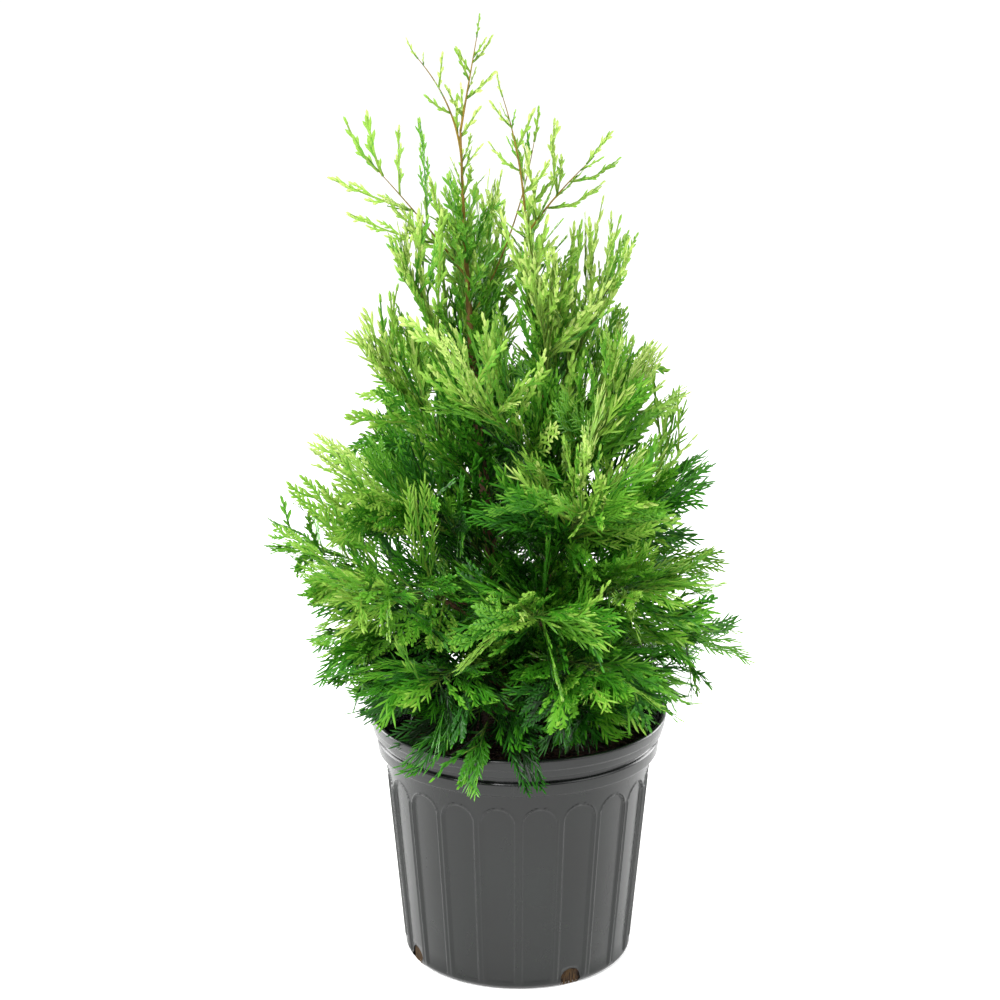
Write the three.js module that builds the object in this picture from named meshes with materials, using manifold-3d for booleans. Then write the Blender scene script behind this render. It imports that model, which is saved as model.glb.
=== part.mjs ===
// A young thuja in a black nursery pot.
//
// The plant has a trunk that leans to one side and a second leader beside it. Low down, short woody boughs
// leave both stems in tiers, and each one carries a mass of flat, fan-like foliage. Higher up the masses
// grow straight from the stems. The pot is thin-walled, with a stepped rim, arched panels round its side
// and drain holes at its foot.
//
// Millimetres, +Z up, origin at the centre of the pot's flat underside. Azimuth 0 faces -Y, 90 faces +X.

import * as THREE from "three";
import { mergeVertices } from "three/addons/utils/BufferGeometryUtils.js";
import Module from "manifold-3d";

const wasm = await Module();
wasm.setup();

// ---------------------------------------------------------------- driving dimensions

const CLEARANCE = 0.3; // between pieces that touch

const POT_HEIGHT = 240;
const RIM_RADIUS = 140;
const WALL_TOP_RADIUS = 125; // where the plain wall meets the stepped rim
const FOOT_RADIUS = 107.6;
const FOOT_CHAMFER = 4;
const RIM_DEPTH = 40; // the height of the stepped rim
const WALL_THICKNESS = 2.6;
const POT_SEGMENTS = 40;

const PANEL_COUNT = 20;
const PANEL_WIDTH_SHARE = 0.84; // of the pitch from one panel to the next
const PANEL_TOP = 187;
const PANEL_EDGE_DEPTH = 0.35;

const DRAIN_HOLES = 4;
const DRAIN_WIDTH = 20;
const DRAIN_HEIGHT = 17;
const DRAIN_PANEL = 1.5; // a hole sits in the middle of the second panel, and of every fifth one after it

const SOIL_EDGE_HEIGHT = 206;
const SOIL_HEIGHT = 212;
const SOIL_FLAT_RADIUS = 30;

const TRUNK_FOOT = new THREE.Vector3(0, 4, SOIL_HEIGHT - 4); // cut flat at the soil
const TRUNK_TOP = new THREE.Vector3(-52, 2, 781);
const TRUNK_BOW = new THREE.Vector3(-9, 6, -6); // how far the middle stands off the straight line
const TRUNK_RADIUS = 7.5;
const TRUNK_TOP_RADIUS = 1.6;
const ROOT_FLARE = 5.5; // added to the radius at the foot
const ROOT_FLARE_HEIGHT = 14;

const LEADER_FORK_HEIGHT = 240; // where the second leader leaves the trunk
const LEADER_TOP = new THREE.Vector3(5, -16, 712);
const LEADER_BOW = new THREE.Vector3(28, -14, -66);
const LEADER_RADIUS = 4.2;
const LEADER_TOP_RADIUS = 1.6;

const BOUGH_SHARE = 0.34; // of a woody branch, the part that is a bare bough
const BOUGH_RADIUS = 2.6;
const TWIG_RADIUS = 2.3; // to the corners of a three-sided twig
const TWIG_TIP_RADIUS = 1.6;

const SPRAY_THICKNESS = 1.2;
const SPRAY_WIDTH = 0.66; // as a share of its length
const SINGLE_SPRAY_WIDTH = 0.5; // narrower on the masses that stand alone
const SPRAY_WAIST = 1.4; // half its width between its teeth, and the share of its width that adds to that
const SPRAY_WAIST_SHARE = 0.16;
const SIDE_TEETH = 2; // on each side of a spray, and of the one at a rib's end
const LAST_SIDE_TEETH = 3;
const LAST_SPRAY = 0.55; // the length of the spray at a rib's end, as a share of the longest
const SPRAY_SAG = 0.1; // how far a spray's tip hangs, as a share of its length
const SPRAY_SPLAY = 56; // between a rib and its first spray, in degrees, and what it loses along the rib
const SPRAY_SPLAY_LOSS = 20;
const SPLAY_SPREAD = 10;
const ROLL_SPREAD = 44;
const SPRAY_LENGTH_SPREAD = 0.24;
const SPRAY_SIZES = [1, 0.84, 0.7, 0.58, 0.46]; // the shares of its full length at which a spray is tried
const SPRAY_TURNS = [0, 34, -34, 68, -68]; // and its turns about its rib, in degrees

const ROOT_SPREAD = 26; // the range of heights at which a tier's branches leave the stems
const TIP_SPREAD = 30; // and of their tips
const REACH_SPREAD = 0.12; // and of how far they reach, as a share
const GOLDEN_SHARE = 0.618;
const SPACE_MARGIN = 0.8; // what a spray keeps from its neighbours' space, from limbs and from the pot
const LIMB_MARGIN = 2;
const POT_MARGIN = 3;
const FIRST_SINGLE_SEED = 907;
const FRESH_HEIGHT = 610; // masses that end above it are young growth
const FINEST_STEP = 0.05; // corners that stand off a surface by less are left out

// Tiers of foliage from the pot up. A tier's masses leave the stems round height `root`. They end round
// height `tip`, at radius `reach` from an axis that stands `shift` along X. `heading` is the angle above
// level at which they set out, `roll` turns the plane of their sprays from upright (0) to level (90),
// `spray` is the longest spray's length, and `sprays` is how many each rib may bear.
const TIERS = [
  {
    name: "skirt",
    azimuths: [44, 98, 156, 212, 268],
    root: 256, tip: 258, reach: 168, shift: -10, heading: 30,
    roll: 74, spray: 86, sprays: 7, woody: true,
  },
  {
    name: "low",
    azimuths: [88, 28, -34, -88, -146, 154],
    root: 282, tip: 306, reach: 203, shift: 12, heading: 24,
    roll: 66, spray: 102, sprays: 8, woody: true,
  },
  {
    name: "wide",
    azimuths: [-92, -46, 6, 62, 118, 184],
    root: 322, tip: 402, reach: 206, shift: -26, heading: 34,
    roll: 52, spray: 106, sprays: 8, woody: true,
  },
  {
    name: "middle",
    azimuths: [90, 24, -72, -146, 152],
    root: 388, tip: 478, reach: 180, shift: -4, heading: 44,
    roll: 40, spray: 106, sprays: 9,
  },
  {
    name: "upper",
    azimuths: [-96, -28, 62, 126, 196],
    root: 452, tip: 586, reach: 144, shift: -24, heading: 58,
    roll: 26, spray: 104, sprays: 9,
  },
  {
    name: "high",
    azimuths: [92, 10, -78, 184],
    root: 540, tip: 684, reach: 112, shift: -20, heading: 64,
    roll: 16, spray: 94, sprays: 8,
  },
];

// Masses that stand alone: the tips of the stems, the plumes below them, and one mass that hangs over the
// pot's rim. Each grows on from the stem named, at a share `from` of its length, and ends at its own tip.
const SINGLES = [
  {
    name: "trunk_top", stem: "trunk", from: 1, tip: [-34, 2, 882],
    heading: 80, roll: 10, spray: 34, sprays: 4,
  },
  {
    name: "side_top", stem: "trunk", from: 0.96, tip: [-104, -4, 861],
    heading: 84, roll: 10, spray: 36, sprays: 3,
  },
  {
    name: "leader_top", stem: "leader", from: 1, tip: [-22, -16, 834],
    heading: 86, roll: 10, spray: 38, sprays: 4,
  },
  {
    name: "slender_top", stem: "trunk", from: 0.7, tip: [18, 14, 803],
    heading: 60, roll: 12, spray: 56, sprays: 5,
  },
  {
    name: "left_plume", stem: "trunk", from: 0.77, tip: [-152, -8, 776],
    heading: 54, roll: 8, spray: 72, sprays: 5,
  },
  {
    name: "right_plume", stem: "leader", from: 0.96, tip: [80, -24, 774],
    heading: 56, roll: 8, spray: 50, sprays: 4,
  },
  {
    name: "front_droop", stem: "trunk", from: 0.07, tip: [-44, -172, 222],
    heading: 34, roll: 84, spray: 112, sprays: 6,
  },
];

// ---------------------------------------------------------------- solids and meshes

// A closed three.js geometry as a solid that can be joined and cut.
function solidOf(geometry) {
  const bare = new THREE.BufferGeometry().setAttribute("position", geometry.getAttribute("position"));
  if (geometry.index) bare.setIndex(geometry.index);
  const merged = mergeVertices(bare, 1e-4);
  return new wasm.Manifold(
    new wasm.Mesh({
      numProp: 3,
      vertProperties: merged.attributes.position.array,
      triVerts: new Uint32Array(merged.index.array),
    }),
  );
}

function geometryOf(solid) {
  const { vertProperties, triVerts } = solid.getMesh();
  const geometry = new THREE.BufferGeometry();
  geometry.setAttribute("position", new THREE.BufferAttribute(vertProperties, 3));
  geometry.setIndex(new THREE.BufferAttribute(triVerts, 1));
  return geometry;
}

// The largest piece of a solid that a cut has left in several.
function mainPiece(solid) {
  return solid.decompose().reduce((a, b) => (b.volume() > a.volume() ? b : a));
}

function material(color, roughness) {
  return new THREE.MeshStandardMaterial({ color, roughness, metalness: 0 });
}

const MATERIALS = {
  plastic: material(0x3f4241, 0.48),
  soil: material(0x2a1c12, 0.95),
  bark: material(0x5b3a22, 0.85),
  foliage: material(0x3f8f1e, 0.6),
  freshFoliage: material(0x86b82a, 0.6),
};

const plant = new THREE.Group();

function addPiece(name, solid, pieceMaterial) {
  const mesh = new THREE.Mesh(geometryOf(solid), pieceMaterial);
  mesh.name = name;
  plant.add(mesh);
}

// ---------------------------------------------------------------- pot and soil

// A closed solid of revolution about Z from a profile of [radius, height] pairs.
function turned(profile) {
  const points = profile.map(([radius, height]) => new THREE.Vector2(radius, height));
  return solidOf(new THREE.LatheGeometry(points, POT_SEGMENTS).rotateX(Math.PI / 2));
}

const wallTop = POT_HEIGHT - RIM_DEPTH;

// The outside radius of the plain wall at a height.
function wallRadius(height) {
  return THREE.MathUtils.mapLinear(height, FOOT_CHAMFER, wallTop, FOOT_RADIUS, WALL_TOP_RADIUS);
}

// The stepped rim, as how far each corner stands out from the wall's top and how far it is below the rim's
// top: the lower band, the groove over it, and the upper band with its lip.
const LIP = RIM_RADIUS - WALL_TOP_RADIUS;
const RIM_STEPS = [
  [0, RIM_DEPTH],
  [7.6, 36],
  [8.4, 27],
  [6.4, 24],
  [11.5, 18],
  [LIP, 6],
  [LIP, 1],
  [LIP - 1.4, 0],
];

function potShell() {
  const outside = RIM_STEPS.map(([out, down]) => [WALL_TOP_RADIUS + out, POT_HEIGHT - down]);
  const inside = [
    [RIM_RADIUS - 3.2, POT_HEIGHT],
    [RIM_RADIUS - 10.5, POT_HEIGHT - 23],
    [WALL_TOP_RADIUS - WALL_THICKNESS, wallTop],
    [wallRadius(WALL_THICKNESS) - WALL_THICKNESS, WALL_THICKNESS],
  ];
  return turned([
    [0, 0],
    [FOOT_RADIUS - FOOT_CHAMFER, 0],
    [FOOT_RADIUS, FOOT_CHAMFER],
    ...outside,
    ...inside,
    [0, WALL_THICKNESS],
  ]);
}

// An upright block with a round top, centred on X, standing on height `foot` and reaching `top`, from Y 0
// to `depth`.
function archBlock(width, foot, top, depth, arcPoints) {
  const radius = width / 2;
  const shape = new THREE.Shape();
  shape.moveTo(-radius, foot);
  shape.lineTo(radius, foot);
  shape.absarc(0, top - radius, radius, 0, Math.PI, false);
  shape.closePath();
  const block = new THREE.ExtrudeGeometry(shape, { depth, bevelEnabled: false, curveSegments: arcPoints });
  return block.rotateX(Math.PI / 2).translate(0, depth, 0);
}

// The block that planes one flat, round-topped panel off the wall, before it is turned to its azimuth.
function panelCutter() {
  const pitch = (2 * Math.PI) / PANEL_COUNT;
  const halfAngle = (pitch * PANEL_WIDTH_SHARE) / 2;
  const slope = Math.atan((WALL_TOP_RADIUS - FOOT_RADIUS) / (wallTop - FOOT_CHAMFER));
  const footDistance = FOOT_RADIUS * Math.cos(halfAngle) - PANEL_EDGE_DEPTH;
  const width = 2 * wallRadius(PANEL_TOP / 2) * Math.sin(halfAngle);
  const overrun = 2 * FOOT_CHAMFER;
  return archBlock(width, -overrun, PANEL_TOP, 2 * RIM_DEPTH, 4)
    .rotateX(-slope)
    .translate(0, footDistance, FOOT_CHAMFER);
}

function drainCutter() {
  const reach = 3 * WALL_THICKNESS;
  return archBlock(DRAIN_WIDTH, -1, DRAIN_HEIGHT, 2 * reach, 4).translate(0, FOOT_RADIUS - reach, 0);
}

// Copies of a cutter that faces +Y, turned round the pot.
function ringOf(cutter, count, firstAzimuth) {
  return Array.from({ length: count }, (_, i) => {
    const azimuth = firstAzimuth + (i * 2 * Math.PI) / count;
    return solidOf(cutter().rotateZ(Math.PI + azimuth));
  });
}

function buildPot() {
  const pitch = (2 * Math.PI) / PANEL_COUNT;
  const panels = ringOf(panelCutter, PANEL_COUNT, pitch / 2);
  const drains = ringOf(drainCutter, DRAIN_HOLES, DRAIN_PANEL * pitch);
  const cut = [...panels, ...drains].reduce((pot, cutter) => pot.subtract(cutter), potShell());
  return cut.asOriginal().simplify(FINEST_STEP);
}

function buildSoil() {
  const floor = WALL_THICKNESS + CLEARANCE;
  const inset = WALL_THICKNESS + CLEARANCE;
  return turned([
    [0, floor],
    [wallRadius(floor) - inset, floor],
    [wallRadius(wallTop) - inset, wallTop],
    [wallRadius(SOIL_EDGE_HEIGHT) - inset, SOIL_EDGE_HEIGHT],
    [SOIL_FLAT_RADIUS * 2.2, SOIL_HEIGHT - 1.6],
    [SOIL_FLAT_RADIUS, SOIL_HEIGHT],
    [0, SOIL_HEIGHT],
  ]);
}

// ---------------------------------------------------------------- limbs

function clamp01(value) {
  return THREE.MathUtils.clamp(value, 0, 1);
}

// A tapering limb along a curve: a capped cylinder whose rings are set on the curve, with a radius at
// each. `spacing` crowds the rings towards the foot, and `overrun` lengthens the limb past the curve's
// end.
function limbSolid(curve, radiusAt, { sides, steps, spacing = 1, overrun = 0 }) {
  const tube = new THREE.CylinderGeometry(1, 1, 1, sides, steps);
  const frames = curve.computeFrenetFrames(steps, false);
  const position = tube.attributes.position;
  for (let i = 0; i < position.count; i++) {
    const ring = Math.round((position.getY(i) + 0.5) * steps);
    const share = (ring / steps) ** spacing;
    const radius = radiusAt(share);
    const point = curve.getPointAt(share);
    if (ring === steps) point.addScaledVector(frames.tangents[ring], overrun);
    point.addScaledVector(frames.normals[ring], position.getX(i) * radius);
    point.addScaledVector(frames.binormals[ring], -position.getZ(i) * radius);
    position.setXYZ(i, point.x, point.y, point.z);
  }
  return solidOf(tube);
}

// A limb's centre line from foot to tip, whose middle stands off the straight line by `bow`.
function bowedCurve(foot, tip, bow) {
  const control = foot.clone().lerp(tip, 0.5).addScaledVector(bow, 2);
  return new THREE.QuadraticBezierCurve3(foot, control, tip);
}

function taper(footRadius, tipRadius) {
  return (share) => THREE.MathUtils.lerp(footRadius, tipRadius, share);
}

const trunkCurve = bowedCurve(TRUNK_FOOT, TRUNK_TOP, TRUNK_BOW);
const trunkLength = trunkCurve.getLength();

function trunkRadius(share) {
  const flare = ROOT_FLARE * Math.exp((-share * trunkLength) / ROOT_FLARE_HEIGHT);
  return taper(TRUNK_RADIUS, TRUNK_TOP_RADIUS)(share) + flare;
}

// The share of a stem's length at which it reaches a height.
function shareAtHeight(curve, height) {
  let low = 0;
  let high = 1;
  for (let i = 0; i < 24; i++) {
    const middle = (low + high) / 2;
    if (curve.getPointAt(middle).z < height) low = middle;
    else high = middle;
  }
  return low;
}

const leaderFoot = trunkCurve.getPointAt(shareAtHeight(trunkCurve, LEADER_FORK_HEIGHT));

const STEMS = {
  trunk: {
    curve: trunkCurve,
    radiusAt: trunkRadius,
    mesh: { sides: 9, steps: 10, spacing: 1.8 },
  },
  leader: {
    curve: bowedCurve(leaderFoot, LEADER_TOP, LEADER_BOW),
    radiusAt: taper(LEADER_RADIUS, LEADER_TOP_RADIUS),
    mesh: { sides: 7, steps: 9 },
  },
};

// A stem, or the same stem `extra` larger all over, cut flat where it leaves the soil.
function stemSolid(name, extra) {
  const { curve, radiusAt, mesh } = STEMS[name];
  const stem = limbSolid(curve, (share) => radiusAt(share) + extra, { ...mesh, overrun: extra });
  return stem.trimByPlane([0, 0, 1], SOIL_HEIGHT + CLEARANCE);
}

function outward(azimuth) {
  const angle = THREE.MathUtils.degToRad(azimuth);
  return new THREE.Vector3(Math.sin(angle), -Math.cos(angle), 0);
}

// The leader stands in front of the trunk and to its right, and carries what grows to that side.
const LEADER_AZIMUTH = 60;

function stemFacing(azimuth) {
  const turn = THREE.MathUtils.degToRad(azimuth - LEADER_AZIMUTH);
  return Math.cos(turn) > 0 ? "leader" : "trunk";
}

// ---------------------------------------------------------------- plan of the crown

// Numbers from 0 to 1 that repeat for the same seed.
function seeded(seed) {
  let state = seed >>> 0;
  return () => {
    state = (state + 0x6d2b79f5) >>> 0;
    let mixed = Math.imul(state ^ (state >>> 15), state | 1);
    mixed ^= mixed + Math.imul(mixed ^ (mixed >>> 7), mixed | 61);
    return ((mixed ^ (mixed >>> 14)) >>> 0) / 4294967296;
  };
}

// The line of one bough and its mass together, from the stem to the root of the last spray, which ends at
// `tip`.
function branchCurve(root, heading, azimuth, tip, lastSpray) {
  const lift = THREE.MathUtils.degToRad(heading);
  const setOut = outward(azimuth).multiplyScalar(Math.cos(lift));
  setOut.z = Math.sin(lift);
  const control = root.clone().addScaledVector(setOut, root.distanceTo(tip) * 0.5);
  const whole = new THREE.QuadraticBezierCurve3(root, control, tip);
  return partOf(whole, 0, 1 - lastSpray / whole.getLength());
}

// The part of a quadratic curve between two shares of its parameter.
function partOf(curve, start, end) {
  const first = curve.getPoint(start);
  const last = curve.getPoint(end);
  const pull = (speedAt(curve, start) * (end - start)) / 2;
  const control = first.clone().addScaledVector(curve.getTangent(start), pull);
  return new THREE.QuadraticBezierCurve3(first, control, last);
}

function speedAt(curve, share) {
  const ahead = curve.v1.clone().sub(curve.v0).multiplyScalar(2 * (1 - share));
  return ahead.addScaledVector(curve.v2.clone().sub(curve.v1), 2 * share).length();
}

const branches = [];

TIERS.forEach((tier, level) => {
  tier.azimuths.forEach((azimuth, i) => {
    const random = seeded(101 * (level + 1) + 7 * i);
    const stem = stemFacing(azimuth);
    const { curve } = STEMS[stem];
    const step = ((i * GOLDEN_SHARE) % 1) - 0.5; // sets neighbours at well separated heights
    const root = curve.getPointAt(shareAtHeight(curve, tier.root + ROOT_SPREAD * step));
    const reach = tier.reach * (1 + REACH_SPREAD * (random() - 0.5));
    const height = tier.tip + TIP_SPREAD * (random() - 0.5);
    const tip = new THREE.Vector3(tier.shift, 0, height).addScaledVector(outward(azimuth), reach);
    const line = branchCurve(root, tier.heading, azimuth, tip, tier.spray * LAST_SPRAY);
    const seed = 31 * (level + 1) + i;
    branches.push({ ...tier, name: `${tier.name}_${i + 1}`, fan: SPRAY_WIDTH, azimuth, line, seed });
  });
});

SINGLES.forEach((single, i) => {
  const root = STEMS[single.stem].curve.getPointAt(single.from);
  const tip = new THREE.Vector3(...single.tip);
  const azimuth = THREE.MathUtils.radToDeg(Math.atan2(tip.x - root.x, root.y - tip.y));
  const line = branchCurve(root, single.heading, azimuth, tip, single.spray * LAST_SPRAY);
  branches.push({ ...single, fan: SINGLE_SPRAY_WIDTH, azimuth, line, seed: FIRST_SINGLE_SEED + i });
});

// A woody branch is a bough and then a mass. Any other is a mass from its root.
for (const branch of branches) {
  branch.bough = branch.woody ? partOf(branch.line, 0, BOUGH_SHARE) : null;
  branch.rib = branch.woody ? partOf(branch.line, BOUGH_SHARE, 1) : branch.line;
}

// ---------------------------------------------------------------- room for each spray

function polyline(curve, steps, radiusAt) {
  const points = curve.getSpacedPoints(steps);
  return points.slice(1).map((end, i) => ({
    line: new THREE.Line3(points[i], end),
    radius: radiusAt((i + 0.5) / steps),
  }));
}

const nearest = new THREE.Vector3();

function distanceTo(segments, point) {
  let least = Infinity;
  for (const { line, radius } of segments) {
    line.closestPointToPoint(point, true, nearest);
    least = Math.min(least, nearest.distanceTo(point) - radius);
  }
  return least;
}

for (const branch of branches) branch.ribSegments = polyline(branch.rib, 9, () => 0);

const limbSegments = [
  ...Object.values(STEMS).flatMap(({ curve, radiusAt }) => polyline(curve, 16, radiusAt)),
  ...branches.filter((b) => b.bough).flatMap((b) => polyline(b.bough, 4, taper(BOUGH_RADIUS, TWIG_RADIUS))),
];

// Whether a point is in the pot's wall or in its soil, or closer to them than a spray may come.
function isInPot(point) {
  const radius = Math.hypot(point.x, point.y);
  const outsideRim = radius > RIM_RADIUS + POT_MARGIN;
  const overSoil = point.z > SOIL_HEIGHT + POT_MARGIN && radius < WALL_TOP_RADIUS - POT_MARGIN;
  return !(point.z > POT_HEIGHT + POT_MARGIN || outsideRim || overSoil);
}

// A mass keeps to the space that is closer to its own rib than to any other, clear of every limb and of
// the pot.
function hasRoom(branch, point) {
  if (isInPot(point) || distanceTo(limbSegments, point) < LIMB_MARGIN) return false;
  const own = distanceTo(branch.ribSegments, point);
  return branches.every((b) => b === branch || distanceTo(b.ribSegments, point) > own + SPACE_MARGIN);
}

// ---------------------------------------------------------------- foliage

// The outline of a spray along +X, from a pointed root: a fan whose teeth lean forward, a little further
// along one side than along the other.
function sprayOutline(length, width, teeth) {
  const waist = SPRAY_WAIST + width * SPRAY_WAIST_SHARE;
  const side = (sign, shift) => {
    const points = [];
    for (let i = 0; i < teeth; i++) {
      const along = (i + 1 + shift) / (teeth + 1);
      const swell = Math.sin(Math.PI * (0.22 + 0.6 * along));
      points.push([length * along, (sign * width * swell) / 2]);
      points.push([length * (along - 0.13 / teeth), sign * waist]);
    }
    return points;
  };
  return [[0, 0], ...side(-1, 0.12), [length, 0], ...side(1, -0.2).reverse()];
}

// Where each spray of a mass leaves its rib: the last one at the rib's end, and the others alternately to
// either side, longest in the lower middle.
function spraySites(branch) {
  const random = seeded(branch.seed);
  const roll = THREE.MathUtils.degToRad(branch.roll);
  const sites = [{ share: 0.99, side: 1, splay: 0, length: branch.spray * LAST_SPRAY, roll, last: true }];
  const firstShare = branch.woody ? 0.04 : 0.16;
  for (let i = 0; i < branch.sprays; i++) {
    const share = firstShare + ((0.92 - firstShare) * i) / branch.sprays;
    const swell = Math.sin(Math.PI * (0.3 + 0.55 * share));
    const splay = SPRAY_SPLAY - SPRAY_SPLAY_LOSS * share;
    sites.push({
      share,
      side: i % 2 ? 1 : -1,
      splay: THREE.MathUtils.degToRad(splay + SPLAY_SPREAD * (random() - 0.5)),
      length: branch.spray * swell * (1 + SPRAY_LENGTH_SPREAD * (random() - 0.5)),
      roll: THREE.MathUtils.degToRad(branch.roll + ROLL_SPREAD * (random() - 0.5)),
    });
  }
  return sites;
}

// A matrix that takes a spray's flat outline to its place on the rib.
function sprayFrame(branch, site, turn) {
  const origin = branch.rib.getPointAt(site.share);
  const along = branch.rib.getTangentAt(site.share);
  const level = outward(branch.azimuth + 90);
  const upright = level.clone().cross(along).normalize();
  const roll = site.roll + turn;
  const across = upright.multiplyScalar(Math.cos(roll)).addScaledVector(level, Math.sin(roll));
  across.addScaledVector(along, -across.dot(along)).normalize();
  const direction = along.clone().multiplyScalar(Math.cos(site.splay));
  direction.addScaledVector(across, site.side * Math.sin(site.splay)).normalize();
  const normal = along.clone().cross(across).normalize();
  const sideways = normal.clone().cross(direction).normalize();
  return new THREE.Matrix4().makeBasis(direction, sideways, normal).setPosition(origin);
}

function sagged(point, alongSpray, length) {
  point.z -= SPRAY_SAG * length * clamp01(alongSpray / length) ** 2;
  return point;
}

// The longest spray that has room at a site, or null. Its outline is tried at smaller and smaller sizes,
// and at each size turned about the rib. Its corners keep to the mass's own space, and its blade touches
// nothing in `taken`.
function growSpray(branch, site, taken) {
  for (const size of SPRAY_SIZES) {
    const length = site.length * size;
    const outline = sprayOutline(length, length * branch.fan, site.last ? LAST_SIDE_TEETH : SIDE_TEETH);
    for (const turn of SPRAY_TURNS) {
      const frame = sprayFrame(branch, site, THREE.MathUtils.degToRad(turn));
      const corners = outline.slice(site.last ? 0 : 1);
      const fits = corners.every(([x, y]) => {
        const point = sagged(new THREE.Vector3(x, y, 0).applyMatrix4(frame), x, length);
        return hasRoom(branch, point);
      });
      if (!fits) continue;
      const spray = spraySolid(outline, length, frame);
      if (taken.every((other) => areApart(spray, other))) return spray;
    }
  }
  return null;
}

function areApart(a, b) {
  const first = a.boundingBox();
  const second = b.boundingBox();
  const boxesApart = [0, 1, 2].some((i) => first.min[i] > second.max[i] || second.min[i] > first.max[i]);
  return boxesApart || a.intersect(b).isEmpty();
}

function spraySolid(outline, length, frame) {
  const shape = new THREE.Shape(outline.map(([x, y]) => new THREE.Vector2(x, y)));
  const blade = new THREE.ExtrudeGeometry(shape, { depth: SPRAY_THICKNESS, bevelEnabled: false });
  blade.translate(0, 0, -SPRAY_THICKNESS / 2);
  const position = blade.attributes.position;
  for (let i = 0; i < position.count; i++) {
    const point = new THREE.Vector3().fromBufferAttribute(position, i);
    const alongSpray = point.x;
    sagged(point.applyMatrix4(frame), alongSpray, length);
    position.setXYZ(i, point.x, point.y, point.z);
  }
  return solidOf(blade);
}

function ribSolid(branch) {
  const rib = branch.bough ? partOf(branch.rib, CLEARANCE / branch.rib.getLength(), 1) : branch.rib;
  return limbSolid(rib, taper(TWIG_RADIUS, TWIG_TIP_RADIUS), { sides: 3, steps: 5 });
}

// A mass of foliage: its rib with the sprays that have room on it, which are added to `taken`.
function buildMass(branch, rib, taken) {
  let mass = rib;
  for (const site of spraySites(branch)) {
    const spray = growSpray(branch, site, taken);
    if (!spray) continue;
    taken.push(spray);
    mass = mass.add(spray);
  }
  return mainPiece(mass.asOriginal().simplify(FINEST_STEP));
}

// ---------------------------------------------------------------- assembly

const wideStems = { trunk: stemSolid("trunk", CLEARANCE), leader: stemSolid("leader", CLEARANCE) };

function cutClearOfStems(solid) {
  return mainPiece(Object.values(wideStems).reduce((piece, stem) => piece.subtract(stem), solid));
}

const pot = buildPot();
const boughs = new Map();
const ribs = new Map();
for (const branch of branches) {
  ribs.set(branch, ribSolid(branch));
  if (!branch.bough) continue;
  boughs.set(branch, limbSolid(branch.bough, taper(BOUGH_RADIUS, TWIG_RADIUS), { sides: 5, steps: 3 }));
}

addPiece("pot", pot, MATERIALS.plastic);
addPiece("soil", buildSoil(), MATERIALS.soil);
addPiece("trunk", stemSolid("trunk", 0), MATERIALS.bark);
addPiece("second_leader", mainPiece(stemSolid("leader", 0).subtract(wideStems.trunk)), MATERIALS.bark);

const sprays = [];
for (const branch of branches) {
  const bough = boughs.get(branch);
  if (bough) addPiece(`bough_${branch.name}`, cutClearOfStems(bough), MATERIALS.bark);
  const otherRibs = branches.filter((other) => other !== branch).map((other) => ribs.get(other));
  const taken = [pot, ...boughs.values(), ...otherRibs, ...sprays];
  const before = taken.length;
  const mass = buildMass(branch, ribs.get(branch), taken);
  sprays.push(...taken.slice(before));
  const leafy = branch.line.v2.z > FRESH_HEIGHT ? MATERIALS.freshFoliage : MATERIALS.foliage;
  addPiece(`foliage_${branch.name}`, cutClearOfStems(mass), leafy);
}

export default plant;
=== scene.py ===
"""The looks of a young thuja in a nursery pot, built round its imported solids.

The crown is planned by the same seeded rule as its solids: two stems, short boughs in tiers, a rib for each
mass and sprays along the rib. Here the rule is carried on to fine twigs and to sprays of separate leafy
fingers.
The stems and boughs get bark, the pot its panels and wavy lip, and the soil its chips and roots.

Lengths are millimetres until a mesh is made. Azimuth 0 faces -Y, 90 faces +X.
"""

import functools
import math
from dataclasses import dataclass

import bpy
import numpy as np
from bpy.props import FloatProperty, FloatVectorProperty, PointerProperty
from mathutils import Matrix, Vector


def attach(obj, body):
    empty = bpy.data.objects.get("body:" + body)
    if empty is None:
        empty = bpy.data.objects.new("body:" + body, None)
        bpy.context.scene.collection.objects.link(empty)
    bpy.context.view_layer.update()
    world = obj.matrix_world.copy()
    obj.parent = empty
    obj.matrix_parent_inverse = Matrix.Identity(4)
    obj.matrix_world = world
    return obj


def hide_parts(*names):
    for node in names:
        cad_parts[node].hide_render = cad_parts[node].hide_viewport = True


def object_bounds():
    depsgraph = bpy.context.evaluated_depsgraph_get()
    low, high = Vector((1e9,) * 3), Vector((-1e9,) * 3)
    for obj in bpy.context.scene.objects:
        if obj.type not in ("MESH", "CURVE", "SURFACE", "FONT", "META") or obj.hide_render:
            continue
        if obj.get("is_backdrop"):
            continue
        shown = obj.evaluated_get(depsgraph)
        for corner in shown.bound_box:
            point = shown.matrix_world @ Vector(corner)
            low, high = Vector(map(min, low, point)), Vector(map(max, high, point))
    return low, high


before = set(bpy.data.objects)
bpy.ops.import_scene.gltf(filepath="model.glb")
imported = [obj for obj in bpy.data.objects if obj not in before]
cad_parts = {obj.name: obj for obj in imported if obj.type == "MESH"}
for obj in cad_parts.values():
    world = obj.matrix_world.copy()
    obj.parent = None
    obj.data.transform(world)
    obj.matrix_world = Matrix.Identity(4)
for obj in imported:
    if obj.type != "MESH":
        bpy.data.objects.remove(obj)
cad_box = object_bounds()

bl_info = {
    "name": "Potted thuja",
    "version": (1, 0, 0),
    "blender": (4, 5, 0),
    "location": "View3D > Sidebar > Thuja",
    "description": "Foliage, bark, pot and soil for a young thuja in a nursery pot",
    "category": "Add Mesh",
}

MM = 0.001
UP = np.array([0.0, 0.0, 1.0])

# ---------------------------------------------------------------- sizes shared with the solids

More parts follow.
